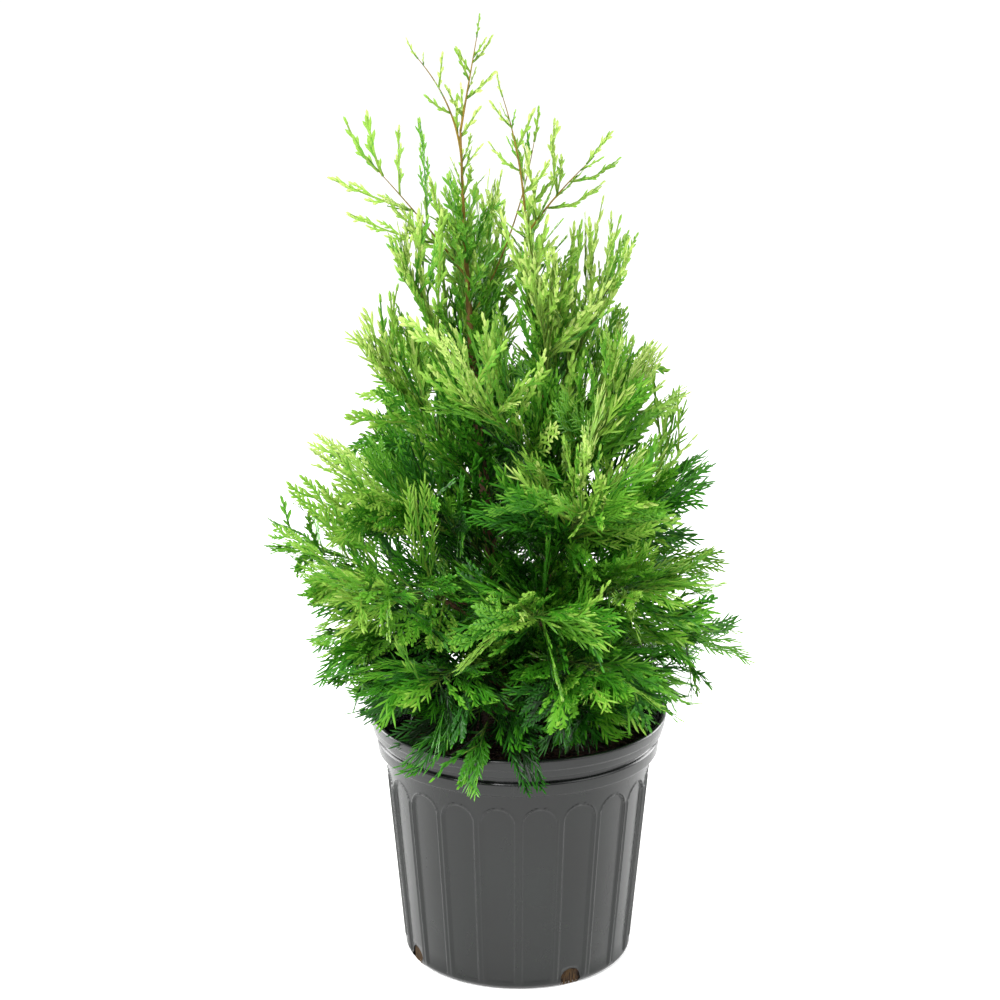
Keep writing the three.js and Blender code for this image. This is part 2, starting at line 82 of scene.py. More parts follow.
POT_HEIGHT = 240
RIM_RADIUS = 140
WALL_TOP_RADIUS = 125
FOOT_RADIUS = 107.6
FOOT_CHAMFER = 4
RIM_DEPTH = 40
WALL_THICKNESS = 2.6
WALL_TOP = POT_HEIGHT - RIM_DEPTH
CLEARANCE = 0.3

PANEL_COUNT = 20
PANEL_GAP = 5.6  # the plain wall between two panels
PANEL_TOP = 187
DRAIN_HOLES = 4
DRAIN_WIDTH = 20
DRAIN_HEIGHT = 17
DRAIN_PANEL = 1.5

SOIL_EDGE_HEIGHT = 206
SOIL_HEIGHT = 212
SOIL_FLAT_RADIUS = 30

TRUNK_FOOT = np.array([0, 4, SOIL_HEIGHT - 4.0])
TRUNK_TOP = np.array([-52, 2, 781.0])
TRUNK_BOW = np.array([-9, 6, -6.0])
TRUNK_RADIUS = 7.5
TRUNK_TOP_RADIUS = 1.6
ROOT_FLARE = 5.5
ROOT_FLARE_HEIGHT = 14

LEADER_FORK_HEIGHT = 240
LEADER_TOP = np.array([5, -16, 712.0])
LEADER_BOW = np.array([28, -14, -66.0])
LEADER_RADIUS = 4.2
LEADER_TOP_RADIUS = 1.6
LEADER_AZIMUTH = 60

BOUGH_SHARE = 0.34
BOUGH_RADIUS = 2.6
TWIG_RADIUS = 2.3

LAST_SPRAY = 0.55
SPRAY_SPLAY = 56
SPRAY_SPLAY_LOSS = 20
SPLAY_SPREAD = 10
ROLL_SPREAD = 44
SPRAY_LENGTH_SPREAD = 0.24
SPRAY_SIZES = [1, 0.84, 0.7, 0.58, 0.46]
SPRAY_TURNS = [0, 34, -34, 68, -68]

ROOT_SPREAD = 26
TIP_SPREAD = 30
REACH_SPREAD = 0.12
GOLDEN_SHARE = 0.618
FIRST_SINGLE_SEED = 907

# name, azimuths, height of root and tip, reach, shift along x, heading, roll, spray's length, sprays, woody
TIERS = [
    ("skirt", [44, 98, 156, 212, 268], 256, 258, 168, -10, 30, 74, 86, 7, True),
    ("low", [88, 28, -34, -88, -146, 154], 282, 306, 203, 12, 24, 66, 102, 8, True),
    ("wide", [-92, -46, 6, 62, 118, 184], 322, 402, 206, -26, 34, 52, 106, 8, True),
    ("middle", [90, 24, -72, -146, 152], 388, 478, 180, -4, 44, 40, 106, 9, False),
    ("upper", [-96, -28, 62, 126, 196], 452, 586, 144, -24, 58, 26, 104, 9, False),
    ("high", [92, 10, -78, 184], 540, 684, 112, -20, 64, 16, 94, 8, False),
]

# name, stem, share of the stem, tip, heading, roll, spray's length, sprays
SINGLES = [
    ("trunk_top", "trunk", 1, [-34, 2, 882], 80, 10, 34, 4),
    ("side_top", "trunk", 0.96, [-104, -4, 861], 84, 10, 36, 3),
    ("leader_top", "leader", 1, [-22, -16, 834], 86, 10, 38, 4),
    ("slender_top", "trunk", 0.7, [18, 14, 803], 60, 12, 56, 5),
    ("left_plume", "trunk", 0.77, [-152, -8, 776], 54, 8, 72, 5),
    ("right_plume", "leader", 0.96, [80, -24, 774], 56, 8, 50, 4),
    ("front_droop", "trunk", 0.07, [-44, -172, 222], 34, 84, 112, 6),
]

# ---------------------------------------------------------------- the crown's finer rule

# A span is a start and the change from there to the end. `graded` reads it. Lengths of sprays are shares of
# the branch's longest one, and angles are degrees.

# the room that the sprays keep to
SPACE_SLACK = -30  # how far a spray may stray into a neighbour's space
SHOOT_SLACK = -50  # and how far a steep one may
REACH_MARGIN = np.array([12, 7, 7])  # how far it may go past the furthest reach of the solids
CROWN_OUTLINE = np.array([
    [220, 172, 5],
    [292, 210, 18],
    [360, 204, 6],
    [410, 210, -24],
    [490, 188, -8],
    [580, 140, -14],
    [670, 117, -8],
    [780, 80, -6],
])  # heights, the crown's reach at each and the x of its middle there
LIMB_MARGIN = 1
POT_MARGIN = 2
LOWEST_LEAF = 221
UNDERSIDE = 250  # the height of the lowest sprays at the rim, but for the hanging one
UNDERSIDE_SLOPE = 0.5  # how much higher they stay further out
BARE_HEIGHT = 690  # above this the stems carry only a few small sprays

# how many sprays there are
CROWN_HEIGHTS = (260, 720)  # what counts as low and high
LOW_TIERS = ("skirt", "low", "wide")
FULLNESS = {"skirt": 1.8, "low": 0.9, "wide": 0.9, "middle": 0.8, "upper": 0.64, "high": 0.55}
DROOP_FULLNESS = 0.45  # of the mass that hangs over the rim
SIDE_OPENING = 0.25  # how much thinner the low masses at the two sides are
FINER_COUNT = 0.3  # the number of each kind of finer spray, for each main one and each unit of fullness
SECOND_COUNT = 0.62
PLUME_SIZE = 1.1
TOP_SIZE = 0.75

FINER_SEED = 5000  # what each use of the seeded numbers adds to a branch's seed
FACING_SEED = 7000
ROOM_SEED = 9000
SECOND_SEED = 11000
INNER_SEED = 4001
FROND_SEED = 7000

# the main sprays, which the solids have too
FIRST_SITE = 0.04  # where their row starts after a bough, as a share of the rib
FIRST_BARE_SITE = 0.16  # and where there is no bough
ROW_END = 0.92
TIP_SITE = 0.99
MAIN_CLIMB = 0.9  # how much steeper than the solids' the main sprays of the top are
CLIMB_SPLAY_LOSS = 20
MAIN_SWELL = (0.3, 0.55)

# the finer sprays between them
FINER_SITES = (0.03, 0.95)
FINER_SPLAY = (26, 32)
FINER_LENGTH = (0.5, 0.34)
FINER_SWELL = (0.32, 0.5)
FINER_ROLL = 150
FINER_CLIMB = 1.9
TOP_CLIMB = 0.3
ALONG_EVERY = 4  # one spray in so many lies along the rib
ALONG_SPLAY = (6, 12)
ALONG_LENGTH = (0.75, 0.34)

# the sprays that face outward
FACING_SITES = (0.25, 0.73)
FACING_HANG = (-52, 118)  # the angle above level, low and high in the crown
FACING_HANG_SPREAD = 40
FACING_LENGTH = (0.46, 0.4)
FACING_TURN = 60
FACING_LEAN = 0.4

# the sprays that grow on from others
SECOND_SITE = (0.3, 0.5)
SECOND_ROLL = 130
SECOND_SPLAY = (24, 34)
SECOND_CLIMB = 2.4
SECOND_CLIMB_FROM = 0.25
SECOND_LENGTH = (0.36, 0.3)
SECOND_TALLER = (1, 0.3)

# how a spray curves and which kind it is
STEEP = 0.8  # the rise of a direction that counts as steep
SPRAY_RISE = (0.06, 0.28)  # how far a spray's tip curves up, from low to high in the crown
SPRAY_DROOP = (0.34, -0.24)  # and how far a level one's tip curves down
LIFT_SPREAD = 0.16
SHOOT_CHANCE = (0.1, 1.1)
FEATHERY_CHANCE = 0.8
FEATHERY_SUNNY = 0.1  # how much likelier feathery sprays are on the side towards +X
BOLD_CHANCE = 0.9

# A tone is how light a spray's green is, in steps from one green to the next: partly how fresh it is, partly
# painted light and painted shade.
# higher and further out is lighter, partly younger growth and partly painted light; low and inside is darker,
# partly older growth and partly painted shade
LOW_TONE = -0.6
HEIGHT_TONE = 2.9
OUTSIDE_TONE = 2.2
CROWN_RADIUS = (190, -90)
FRONT_PAINTED_SHADE = 0.9  # painted shade: how much darker the low middle of the front is, which stands back between two masses
# where the painted shade on the front lies: its middle x, its width and how far in front it reaches
FRONT_MIDDLE = -10
FRONT_WIDTH = 80
FRONT_REACH = 175
RIGHT_PAINTED_LIGHT = (3, -8)  # painted light and shade on the side towards +X, for each metre from the middle, up to a third of the height: lighter at the foot, darker higher up
# painted light on the upper part of the side towards -X, for each metre from the middle, from this share of
# the height
LEFT_PAINTED_LIGHT = 14
LEFT_PAINTED_LIGHT_FROM = 0.4
TONE_SPREAD = 2.2
DARKEST = -0.2  # the limits for sprays on the outside
PALEST = 3.8
TOP_TONE = (2.5, 1.8)
YELLOW_STEM = 2.6  # the tone from which a spray's own stem is yellow
FRESH_TONE = 1.7  # how much fresher a spray's tips are than its foot
FOOT_TONE = -0.3

# the short sprays on the stems and boughs
INNER_RISE = 0.3
INNER_RISE_SPREAD = (0.7, 1.6)
INNER_ALONG = 0.4
INNER_LENGTH = (60, 46)
INNER_TAPER = (1, -0.5)
INNER_TOP_SIZE = 0.6
INNER_TURN = 137.5
INNER_TURN_SPREAD = 40
INNER_LEFT_OUT = 0.5  # how many are left out at the top of the crown, and above the bare height
INNER_TOP_LEFT_OUT = 0.75
# the inner sprays are dark, partly older growth and partly painted shade inside the crown, and lighter up the
# stem and higher in the crown
INNER_TONE = (0.4, 0.7)
INNER_TONE_RISE = 3.4  # how much lighter they are along the stem, from a share of it: partly fresher growth, partly painted light
INNER_TONE_FROM = 0.35
INNER_HIGH_TONE = 0.8
TRUNK_SPRAYS = (0.08, 0.97, 240)  # the first and the last share of the limb, and how many sprays
LEADER_SPRAYS = (0.1, 0.97, 180)
BOUGH_SPRAYS = (0.2, 1, 12)

# ---------------------------------------------------------------- sprays

FROND_LENGTHS = [22, 36, 52, 70, 90]  # the lengths at which sprays are shaped before they are fitted
FROND_VARIANTS = 3
STALK = -1  # the freshness that marks a spray's own stem
LONG_FROND = 60

# its stem and side twigs
STEM_REACH = 0.97
STEM_STEPS = 9
STEM_BEND = 14
STEM_BEND_SPREAD = 26
STEM_WIDTH = (2.2, -0.8)
FEWEST_TWIGS = 4
FIRST_TWIG = 0.14
FIRST_LONG_TWIG = 0.2  # on a long spray
TWIG_ROW_END = 0.93
LAST_TWIG = 0.95
TWIG_SHIFT = 0.3
TWIG_SWELL = (0.2, 0.66)
TWIG_SWELL_POWER = 0.9
TWIG_REACH = 1.3
TWIG_REACH_RANGE = (0.84, 0.3)
TWIG_SPLAY_LOSS = 12
TWIG_SPLAY_SPREAD = 10
TWIG_RISE_SPREAD = 0.22
TWIG_TILT_SPREAD = 0.5
TWIG_END = 0.55  # how much shorter than the twig its stem is, in fingers
TWIG_CURL = (26, 16)
TWIG_STEPS = 3
TWIG_WIDTH = (2.1, -0.3)
TWIG_FRESH = (0.2, 0.3)

# the leafy fingers along a side twig
SHORT_TWIG = 1.25  # in fingers: a shorter twig is a single finger
SHORTEST_TWIG = 0.7
SHORT_FRESH = (0.55, 0.45)
FEWEST_FINGERS = 2
FINGER_ROW = (0.2, 0.76)
FINGER_SWELL = (0.2, 0.7)
FINGER_SWELL_RANGE = (0.62, 0.5)
FINGER_RANGE = (0.78, 0.44)
FINGER_TAPER = (1.15, -0.4)
FINGER_SPLAY_SPREAD = 12
FINGER_WIDTH_RANGE = (0.86, 0.28)
FINGER_TILT_SPREAD = 0.6
FINGER_FRESH = (0.2, 0.5)
LAST_FRESH = (0.8, 0.2)
STEM_FINGER = 0.9
LAST_FINGER = 0.8

# ---------------------------------------------------------------- bark, twigs and roots

YOUNG_FROM = 480  # the heights between which old bark turns to young
YOUNG_FULL = 720
BARK_PLATES = (60, 9)  # cells of the relief along the trunk and round it
BARK_FIBRES = (150, 22)
CRACK_WIDTH = 0.25
CRACK_DEPTH = 0.4  # shares of the depth of the relief
PLATE_DEPTH = 0.35
FIBRE_DEPTH = 0.4
RING_CROWDING = 1.15  # how much closer the rings are near the foot

TOP_THINNING = (1, -0.4)  # how much thinner than the solid the trunk gets near the top
THINS_FROM = 0.6
THINS_OVER = 0.3
BOUGH_RELIEF = 0.7  # of the stems' depth
RIB_THINNING = 0.52  # how thick a rib is beside the solid's
RIB_TIP_RADIUS = 0.7
RIB_POINTS = 24
STALK_SHARE = 0.32
STALK_RADII = (0.8, 0.55)
STALK_POINTS = 4

ROOTS_PER_HOLE = 13
ROOT_ROW = 8.5  # how far to each side of the hole's middle they start
ROOT_REACH = 9.2
ROOT_FOOT = 0.8
ROOT_HEIGHTS = (12, 17)
ROOT_RADII = (0.4, 0.8)
ROOT_BEND = 0.5
ROOT_WAVES = (0.6, 1.6)
ROOT_WANDER = 1.5
ROOT_SEAT = 0.4
ROOT_POINTS = 9
ROOT_DARKNESS = 0.12
ROOT_GRAIN = 900

# ---------------------------------------------------------------- pot and soil

WALL_END = POT_HEIGHT - 44  # where the plain wall ends under the rim
WALL_ROWS = [8, 20, 50, 80, 110, 130]
ARCH_FOOT = PANEL_TOP - 46  # the rows lie closer from here up
ARCH_ROW = 1.3
INNER_ROWS = (160, 100, 40)
FLOOR_RING = 60
RIM_ROUNDING = 0.9
FOOT_ROUNDING = 2

PANEL_COLUMNS = 30
PANEL_FOOT = 6
PANEL_EDGE = 1.3
BEAD_WIDTH = 0.7
LIP_DEPTH = 16  # the part of the rim that is out of true
LIP_SINK = 0.6  # how far its edge dips, as a share of its wave inwards
CUT_REACH = 9  # how far a drain hole's cutter goes past the wall to both sides, and below the floor
CUT_BELOW = 3

SOIL_ROWS = (WALL_THICKNESS + CLEARANCE, 60, 140)
SOIL_COLUMNS = 160
SOIL_RINGS = 60
SOIL_DIP = 1.6  # how far the mound round the trunk has sunk where it ends
SOIL_SINK = 1.6  # how far bumps start below the surface
HIGHEST_BUMP = 0.2
CLOD_SIZE, CLOD_HEIGHT, CLOD_CELLS = 9, 2.2, 40
CRUMB_SIZE, CRUMB_HEIGHT, CRUMB_CELLS = 3.4, 1.4, 100

CHIP_COUNT = 900
CHIP_REACH = 119
CHIP_SINK = 0.6
CHIP_LENGTHS = (1.2, 4.6)
CHIP_WIDTHS = (0.7, 2)
CHIP_HEIGHTS = (0.3, 0.9)

# ---------------------------------------------------------------- finishes

PLASTIC_IOR = 1.45
PLASTIC_ROUGHNESS = 0.23
PLASTIC_GRAIN = 900  # the scale of a noise is its cells in a metre
PLASTIC_DENTS = 120
CLOUD_SCALE = 14
SCUFF_SCALE = 60
CLOD_SCALE = 220
ALONG_GRAIN = 0.18  # how much longer than wide fibres are
PATCH_SHARE = 0.3
LEAF_ROUGHNESS = 0.42

# ---------------------------------------------------------------- stage, in metres

# name, place and size of each lamp
LAMPS = [
    ("key", (-1.4, -1.8, 2.6), 1.6),
    ("fill", (2.0, -1.0, 1.6), 1.6),
    ("rim", (-1.8, 1.1, 0.7), 1.2),
    ("rim", (1.8, 1.1, 0.7), 1.2),
]
LAMP_AIM = np.array([0, 0, 0.42])
CAMERA_PLACE = (-0.017, -2.196, 1.056)
CAMERA_PITCH = 15.61
SENSOR_WIDTH = 36  # millimetres
FLOOR_REACH = 20
FLOOR_GRAIN = 0.06

# ---------------------------------------------------------------- kinds of spray


@dataclass
class FrondStyle:
    """How a kind of spray branches: its side twigs and the leafy fingers along them."""

    half_width: float
    twig_pitch: float
    twig_splay: float
    finger: float
    finger_width: float
    finger_pitch: float
    finger_splay: float


STYLES = {
    "broad": FrondStyle(0.34, 7.8, 42, 6.8, 2.6, 3.5, 34),
    "feathery": FrondStyle(0.36, 8.6, 40, 13.0, 1.9, 4.9, 24),
    "bold": FrondStyle(0.3, 10.4, 40, 8.6, 2.9, 5.0, 34),
    "shoot": FrondStyle(0.17, 9.6, 30, 8.0, 2.7, 4.8, 28),
    "sparse": FrondStyle(0.2, 10.5, 36, 6.0, 2.3, 4.0, 32),
    "inner": FrondStyle(0.34, 9.0, 40, 9.0, 2.8, 6.4, 30),
}

# ---------------------------------------------------------------- curves


def outward(azimuth):
    angle = math.radians(azimuth)
    return np.array([math.sin(angle), -math.cos(angle), 0.0])


def unit(vectors):
    return vectors / np.linalg.norm(vectors, axis=-1, keepdims=True)


def square_to(direction, vector):
    """The direction of a vector's part square to another direction."""
    return unit(vector - direction * (vector @ direction))


def graded(span, share):
    """The value at a share of a span."""
    start, change = span
    return start + change * share


def spread(random, width):
    """A number drawn from a range of this width about 0."""
    return width * (random() - 0.5)


def swell(span, share):
    """How full a row is at a share of its length: a stretch of a half wave."""
    return math.sin(math.pi * graded(span, share))


class Curve:
    """A quadratic curve, which is read by shares of its length."""

    def __init__(self, start, control, end):
        self.start, self.control, self.end = (np.array(point, float) for point in (start, control, end))
        self.parameters = np.linspace(0, 1, 201)
        strides = np.linalg.norm(np.diff(self.at(self.parameters), axis=0), axis=1)
        self.lengths = np.concatenate([[0], np.cumsum(strides)])
        self.length = self.lengths[-1]

    def at(self, parameter):
        t = np.asarray(parameter, float)[..., None]
        return (1 - t) ** 2 * self.start + 2 * t * (1 - t) * self.control + t**2 * self.end

    def slope(self, parameter):
        t = np.asarray(parameter, float)[..., None]
        return 2 * (1 - t) * (self.control - self.start) + 2 * t * (self.end - self.control)

    def parameter(self, share):
        return np.interp(np.asarray(share) * self.length, self.lengths, self.parameters)

    def point(self, share):
        return self.at(self.parameter(share))

    def tangent(self, share):
        return unit(self.slope(self.parameter(share)))

    def part(self, first, last):
        start = self.at(first)
        return Curve(start, start + self.slope(first) * (last - first) / 2, self.at(last))


def bowed_curve(foot, tip, bow):
    return Curve(foot, (foot + tip) / 2 + 2 * bow, tip)


def taper(foot_radius, tip_radius):
    return lambda share: foot_radius + (tip_radius - foot_radius) * share


def share_at_height(curve, height):
    low, high = 0.0, 1.0
    for _ in range(24):
        middle = (low + high) / 2
        if curve.point(middle)[2] < height:
            low = middle
        else:
            high = middle
    return low


trunk_curve = bowed_curve(TRUNK_FOOT, TRUNK_TOP, TRUNK_BOW)


def trunk_radius(share):
    flare = ROOT_FLARE * np.exp(-share * trunk_curve.length / ROOT_FLARE_HEIGHT)
    return taper(TRUNK_RADIUS, TRUNK_TOP_RADIUS)(share) + flare


leader_foot = trunk_curve.point(share_at_height(trunk_curve, LEADER_FORK_HEIGHT))
leader_curve = bowed_curve(leader_foot, LEADER_TOP, LEADER_BOW)
leader_radius = taper(LEADER_RADIUS, LEADER_TOP_RADIUS)
STEMS = {"trunk": trunk_curve, "leader": leader_curve}


def stem_facing(azimuth):
    return "leader" if math.cos(math.radians(azimuth - LEADER_AZIMUTH)) > 0 else "trunk"


# ---------------------------------------------------------------- plan of the crown


def seeded(seed):
    """Numbers from 0 to 1, the same as the solids' rule draws for this seed."""
    state = seed & 0xFFFFFFFF

    def draw():
        nonlocal state
        state = (state + 0x6D2B79F5) & 0xFFFFFFFF
        mixed = ((state ^ (state >> 15)) * (state | 1)) & 0xFFFFFFFF
        mixed ^= (mixed + ((mixed ^ (mixed >> 7)) * (mixed | 61))) & 0xFFFFFFFF
        return (mixed ^ (mixed >> 14)) / 4294967296

    return draw


@dataclass
class Branch:
    """A bough, if it has one, and the rib of the mass that grows on from it."""

    name: str
    tier: str
    azimuth: float
    roll: float
    spray: float
    sprays: int
    seed: int
    bough: Curve
    rib: Curve


def branch_curve(root, heading, azimuth, tip, last_spray):
    lift = math.radians(heading)
    set_out = outward(azimuth) * math.cos(lift) + UP * math.sin(lift)
    control = root + set_out * np.linalg.norm(root - tip) * 0.5
    whole = Curve(root, control, tip)
    return whole.part(0, 1 - last_spray / whole.length)


def tier_branches():
    for level, tier in enumerate(TIERS):
        name, azimuths, root, tip, reach, shift, heading, roll, spray, sprays, woody = tier
        for i, azimuth in enumerate(azimuths):
            random = seeded(101 * (level + 1) + 7 * i)
            curve = STEMS[stem_facing(azimuth)]
            step = (i * GOLDEN_SHARE) % 1 - 0.5  # sets neighbours at well separated heights
            foot = curve.point(share_at_height(curve, root + ROOT_SPREAD * step))
            far = reach * (1 + spread(random, REACH_SPREAD))
            height = tip + spread(random, TIP_SPREAD)
            end = np.array([shift, 0, height]) + outward(azimuth) * far
            line = branch_curve(foot, heading, azimuth, end, spray * LAST_SPRAY)
            bough = line.part(0, BOUGH_SHARE) if woody else None
            rib = line.part(BOUGH_SHARE, 1) if woody else line
            seed = 31 * (level + 1) + i
            yield Branch(f"{name}_{i + 1}", name, azimuth, roll, spray, sprays, seed, bough, rib)


def single_branches():
    for i, (name, stem, share, tip, heading, roll, spray, sprays) in enumerate(SINGLES):
        foot, end = STEMS[stem].point(share), np.array(tip, float)
        azimuth = math.degrees(math.atan2(end[0] - foot[0], foot[1] - end[1]))
        rib = branch_curve(foot, heading, azimuth, end, spray * LAST_SPRAY)
        tier = "skirt" if name == "front_droop" else "tops"
        yield Branch(name, tier, azimuth, roll, spray, sprays, FIRST_SINGLE_SEED + i, None, rib)


branches = [*tier_branches(), *single_branches()]
tiers = list(dict.fromkeys(branch.tier for branch in branches))

# ---------------------------------------------------------------- room for each spray


class Chains:
    """Lines cut into straight lengths, to measure distances to."""

    def __init__(self, curves, steps, radii):
        self.count = len(curves)
        points = np.array([curve.point(np.linspace(0, 1, steps + 1)) for curve in curves])
        self.starts = points[:, :-1].reshape(-1, 3)
        self.spans = np.diff(points, axis=1).reshape(-1, 3)
        middles = (np.arange(steps) + 0.5) / steps
        self.radii = np.concatenate([np.zeros(steps) + radius(middles) for radius in radii])

    def distances(self, points):
        """From each point to each curve's surface."""
        offsets = points[:, None] - self.starts
        shares = np.clip((offsets * self.spans).sum(-1) / (self.spans**2).sum(-1), 0, 1)
        gaps = np.linalg.norm(offsets - shares[..., None] * self.spans, axis=-1) - self.radii
        return gaps.reshape(len(points), self.count, -1).min(-1)


def no_radius(share):
    return 0 * share


ribs = Chains([branch.rib for branch in branches], 9, [no_radius] * len(branches))
boughs = [branch.bough for branch in branches if branch.bough]
bough_radius = taper(BOUGH_RADIUS, TWIG_RADIUS)
limbs = Chains(
    [trunk_curve, leader_curve, *boughs], 12, [trunk_radius, leader_radius, *[bough_radius] * len(boughs)]
)


def is_in_pot(points):
    radii = np.hypot(points[:, 0], points[:, 1])
    above = points[:, 2] > POT_HEIGHT + POT_MARGIN
    outside = radii > RIM_RADIUS + POT_MARGIN
    over_soil = (points[:, 2] > SOIL_HEIGHT + POT_MARGIN) & (radii < WALL_TOP_RADIUS - POT_MARGIN)
    return ~(above | outside | over_soil)


reach_low, reach_high = (np.array(corner) / MM for corner in cad_box)


def is_out_of_reach(points, is_single):
    """Whether any point leaves the solids' box or, but for the single masses, the crown's outline."""
    if (points < reach_low - REACH_MARGIN).any() or (points > reach_high + REACH_MARGIN).any():
        return True
    if points[:, 2].min() < LOWEST_LEAF:
        return True
    if is_single:
        return False
    x, y, z = points.T
    heights, reaches, middles = CROWN_OUTLINE.T
    is_outside = np.hypot(x - np.interp(z, heights, middles), y) > np.interp(z, heights, reaches)
    is_below = z < UNDERSIDE + UNDERSIDE_SLOPE * (np.hypot(x, y) - RIM_RADIUS)
    return (is_below | is_outside).any()


def has_room(index, points, slack):
    """Whether points keep to the space round one branch's rib, clear of the limbs and the pot."""
    is_single = branches[index].tier == "tops" or branches[index].name == "front_droop"
    if is_in_pot(points).any() or is_out_of_reach(points, is_single):
        return False
    if limbs.distances(points).min() < LIMB_MARGIN:
        return False
    gaps = ribs.distances(points)
    own = gaps[:, index].copy()
    gaps[:, index] = np.inf
    return bool((gaps.min(1) > own + slack).all())


# ---------------------------------------------------------------- where sprays grow


def height_share(height):
    low, high = CROWN_HEIGHTS
    return min(max((height - low) / (high - low), 0), 1)


@dataclass
class Site:
    """Where a spray leaves its rib, and how."""

    share: float
    side: int
    splay: float
    length: float
    roll: float = 0
    climb: float = 0  # how much it turns upward
    hang: float = None  # for a spray that faces outward, its angle above level


@dataclass
class Spray:
    """A spray in its place."""

    origin: np.ndarray
    axes: np.ndarray
    length: float
    lift: float
    style: str
    tone: float
    variant: int


def main_sites(branch):
    """The sprays that the solids have too: the last one first, then the others alternately."""
    random = seeded(branch.seed)
    climb = 0 if branch.tier == "tops" else MAIN_CLIMB * height_share(branch.rib.end[2])
    yield Site(TIP_SITE, 1, 0, branch.spray * LAST_SPRAY, branch.roll, climb)
    first = FIRST_SITE if branch.bough else FIRST_BARE_SITE
    for i in range(branch.sprays):
        share = first + (ROW_END - first) * i / branch.sprays
        splay = graded((SPRAY_SPLAY, -SPRAY_SPLAY_LOSS), share) + spread(random, SPLAY_SPREAD)
        length = branch.spray * swell(MAIN_SWELL, share) * (1 + spread(random, SPRAY_LENGTH_SPREAD))
        roll = branch.roll + spread(random, ROLL_SPREAD)
        yield Site(share, side_of(i), splay - CLIMB_SPLAY_LOSS * climb, length, roll, climb)


def side_of(i):
    return 1 if i % 2 else -1


def finer_sites(branch, count):
    """Smaller sprays between the main ones, turned every way about the rib. Some lie along it."""
    random = seeded(branch.seed + FINER_SEED)
    climb = TOP_CLIMB if branch.tier == "tops" else FINER_CLIMB * height_share(branch.rib.end[2])
    for i in range(count):
        share = graded(FINER_SITES, (i + random()) / count)
        lies_along = i % ALONG_EVERY == 0
        splay = graded(ALONG_SPLAY if lies_along else FINER_SPLAY, random())
        size = graded(ALONG_LENGTH if lies_along else FINER_LENGTH, random())
        length = branch.spray * swell(FINER_SWELL, share) * size
        roll = branch.roll + spread(random, FINER_ROLL)
        yield Site(share, side_of(i), splay, length, roll, climb * random())


def facing_sites(branch, count):
    """Sprays that show their faces to the outside: they climb high in the crown and hang low in it."""
    random = seeded(branch.seed + FACING_SEED)
    level = graded(FACING_HANG, height_share(branch.rib.end[2]))
    for i in range(count):
        share = graded(FACING_SITES, (i + random()) / count)
        hang = level + FACING_HANG_SPREAD * random()
        length = branch.spray * graded(FACING_LENGTH, random())
        yield Site(share, side_of(i), 0, length, spread(random, FACING_TURN), hang=hang)


def second_sprays(index, branch, parents, count):
    """Sprays that grow on from others, turned out of their planes."""
    random = seeded(branch.seed + SECOND_SEED)
    height = height_share(branch.rib.end[2])
    for i in range(count):
        parent = parents[int(random() * len(parents))]
        along = graded(SECOND_SITE, random())
        spot = parent.axes[0] * along * parent.length + UP * parent.lift * parent.length * along**2
        roll = math.radians(spread(random, SECOND_ROLL))
        across = parent.axes[1] * math.cos(roll) + parent.axes[2] * math.sin(roll)
        splay = math.radians(graded(SECOND_SPLAY, random())) * side_of(i)
        climb = (height - SECOND_CLIMB_FROM) * SECOND_CLIMB * random()
        direction = unit(parent.axes[0] * math.cos(splay) + across * math.sin(splay) + UP * climb)
        axes = spray_axes(direction, np.cross(parent.axes[0], across))
        length = branch.spray * graded(SECOND_LENGTH, random()) * graded(SECOND_TALLER, height)
        yield fitted_spray(index, branch, parent.origin + spot, length, [axes], random)


def spray_axes(direction, facing):
    """The directions along a spray, across it and out of its plane, which looks about along `facing`."""
    normal = square_to(direction, facing)
    return np.array([direction, np.cross(normal, direction), normal])


def facing_axes(azimuth, site, turn):
    hang = math.radians(site.hang)
    out = outward(azimuth + site.roll + turn)
    sideways = outward(azimuth + site.roll + turn + 90) * site.side
    direction = unit(sideways * math.cos(hang) + UP * math.sin(hang) + out * FACING_LEAN)
    return spray_axes(direction, out)


def site_axes(curve, azimuth, site, turn):
    """A spray's axes at a site, rolled by `turn` to look for room."""
    if site.hang is not None:
        return facing_axes(azimuth, site, turn)
    along = curve.tangent(site.share)
    level = outward(azimuth + 90)
    upright = unit(np.cross(level, along))
    roll = math.radians(site.roll + turn)
    across = square_to(along, upright * math.cos(roll) + level * math.sin(roll))
    splay = math.radians(site.splay)
    direction = unit(along * math.cos(splay) + across * site.side * math.sin(splay) + UP * site.climb)
    return spray_axes(direction, np.cross(along, across))


def lift_of(axes, height):
    """How far a spray's tip curves up: stiff where its plane is upright, drooping where it is level."""
    level, share = abs(axes[2][2]), height_share(height)
    return graded(SPRAY_RISE, share) * (1 - level) - graded(SPRAY_DROOP, share) * level


def bent(points, along, length, lift):
    points[..., 2] += lift * length * np.clip(along / length, 0, 1) ** 2
    return points


# a spray's outline in its plane as shares of its length, which has to find room
OUTLINE = np.array([[0.3, 0.3], [0.55, 0.34], [0.8, 0.22], [1, 0], [0.8, -0.22], [0.55, -0.34], [0.3, -0.3]])


def style_of(branch, axes, random):
    """Slender shoots where a spray stands up, feathery ones low down, bold or broad ones elsewhere."""
    if branch.tier == "tops":
        return "sparse"
    height = height_share(branch.rib.end[2])
    if random() < graded(SHOOT_CHANCE, max(axes[0][2], 0) * height):
        return "shoot"
    if random() < FEATHERY_CHANCE * (1 - height) + FEATHERY_SUNNY * math.sin(math.radians(branch.azimuth)):
        return "feathery"
    return "bold" if random() < BOLD_CHANCE * height else "broad"


def grow_spray(index, branch, site, random):
    """The longest spray that has room at a site, or None."""
    turns = [site_axes(branch.rib, branch.azimuth, site, turn) for turn in SPRAY_TURNS]
    return fitted_spray(index, branch, branch.rib.point(site.share), site.length, turns, random)


